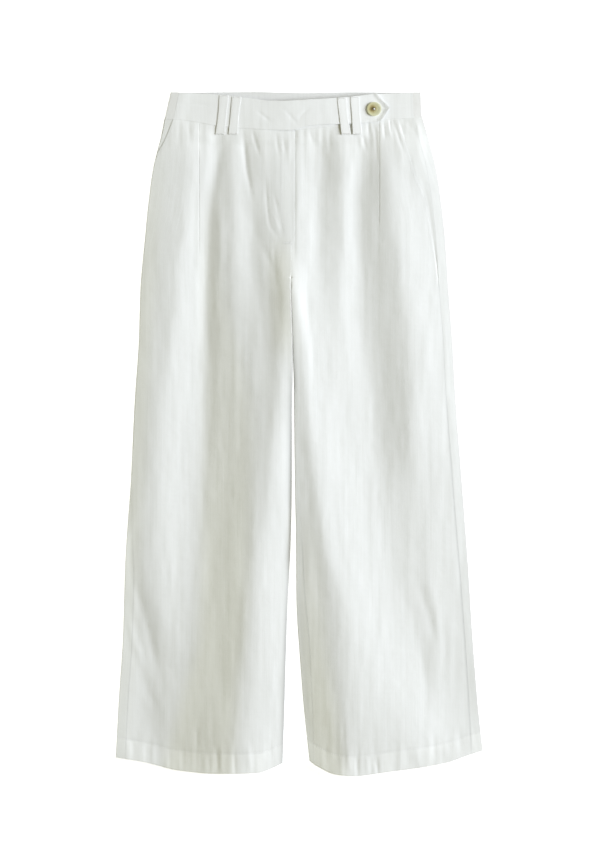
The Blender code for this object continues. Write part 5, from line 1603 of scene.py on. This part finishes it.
bevel.width, bevel.segments = TURNED_EDGE * MM, 3
bevel.limit_method, bevel.angle_limit = "ANGLE", 0.5
bpy.ops.object.modifier_apply(modifier=bevel.name)
disc = button.data.uv_layers.new(name="disc")
for loop in button.data.loops:
    point = button.data.vertices[loop.vertex_index].co
    disc.data[loop.index].uv = (point.x, point.y)
button.data.materials.clear()
button.data.materials.append(horn())
button.select_set(True)
bpy.ops.object.shade_smooth_by_angle(angle=math.radians(35))


def top_of(x, drop):
    return float(front_level(x, drop) + tab_lift(x) + creases(np.array([x]), np.array([drop]))[0])


def on_tab(x, drop, lift, reach=BUTTON_R):
    """Place and turn that lay a thing flat on the tab."""
    lean = (top_of(x + reach, drop) - top_of(x - reach, drop)) / (2 * reach)
    pitch = (top_of(x, drop - reach) - top_of(x, drop + reach)) / (2 * reach)
    turn = Vector((0, 0, 1)).rotation_difference(Vector((-lean, -pitch, 1)).normalized())
    return Vector((x, LENGTH / 2 - drop, top_of(x, drop) + lift)) * MM, turn.to_matrix().to_4x4()


place, turn = on_tab(*BUTTON_AT, GAP + 0.05)
button.data.transform(turn)
button.data.transform(Matrix.Translation(place))
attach(button, "root")
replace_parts(button, "button")
lie = turn.to_3x3()
over_dish = place / MM + lie @ Vector((0, 0, BUTTON_H - DISH + THREAD_OVER_DISH))
sewn = [(over_dish + lie @ Vector((0, 0, THREAD_CROSSING * lift)), lie @ Vector((1, way, 0)).normalized(),
         lie @ Vector((0, 0, 1)), 2 * HOLE_OUT + THREAD_PAST_HOLES, THREAD_THICK)
        for lift, way in ((0, 1), (1, -1))]
thread_piece("button_thread", sewn, "horn")
print("button", len(button.data.polygons), "faces at", [round(v, 4) for v in place])

# %% [markdown]
# ## Table, light and camera
# The garment lies on a plain pale table. A large soft light stands far off to the right, so that each fold
# has a bright side and a shaded side, and the sky fills the shade. The camera looks straight down.

# %% Table
bpy.ops.object.select_all(action="DESELECT")
bpy.ops.mesh.primitive_plane_add(size=12.0, location=(0, 0, cad_low.z - 0.0004))
table = bpy.context.object
table.name = "table"
pale, _, shader = new_material("pale table")
give(shader, Base_Color=(0.93, 0.93, 0.93, 1), Roughness=0.9, Specular_IOR_Level=0.0,
     Emission_Color=(1, 1, 1, 1), Emission_Strength=0.75)
table.data.materials.append(pale)

# %% Light and camera
def area_light(name, place, aim, size, watts, colour):
    light = bpy.data.lights.new(name, "AREA")
    light.shape, light.size, light.energy, light.color = "DISK", size, watts, colour
    lamp = bpy.data.objects.new(name, light)
    bpy.context.scene.collection.objects.link(lamp)
    lamp.location = place
    lamp.rotation_euler = (Vector(aim) - Vector(place)).to_track_quat("-Z", "Y").to_euler()
    return lamp


area_light("key", (2.7, 0.5, 1.45), (0, 0, 0), 1.7, 142.0, (0.96, 1.0, 1.12))
sky = bpy.data.worlds.new("sky")
sky.use_nodes = True
give(sky.node_tree.nodes["Background"], Color=(1.03, 1.0, 0.73, 1), Strength=0.333)
bpy.context.scene.world = sky
bpy.context.scene.view_settings.view_transform = "Standard"

FRAME_HEIGHT = 1.2312       # metres of table seen from top to bottom
CAMERA_HEIGHT = 6.0
SENSOR = 36.0
camera_data = bpy.data.cameras.new("camera")
camera_data.sensor_width = SENSOR
camera_data.lens = SENSOR / 2 * CAMERA_HEIGHT / (FRAME_HEIGHT / 2)
camera_data.clip_end = 50.0
camera = bpy.data.objects.new("camera", camera_data)
bpy.context.scene.collection.objects.link(camera)
camera.location = (0.0007, 0.0, CAMERA_HEIGHT)
bpy.context.scene.camera = camera
print("camera lens", round(camera_data.lens, 1), "mm")
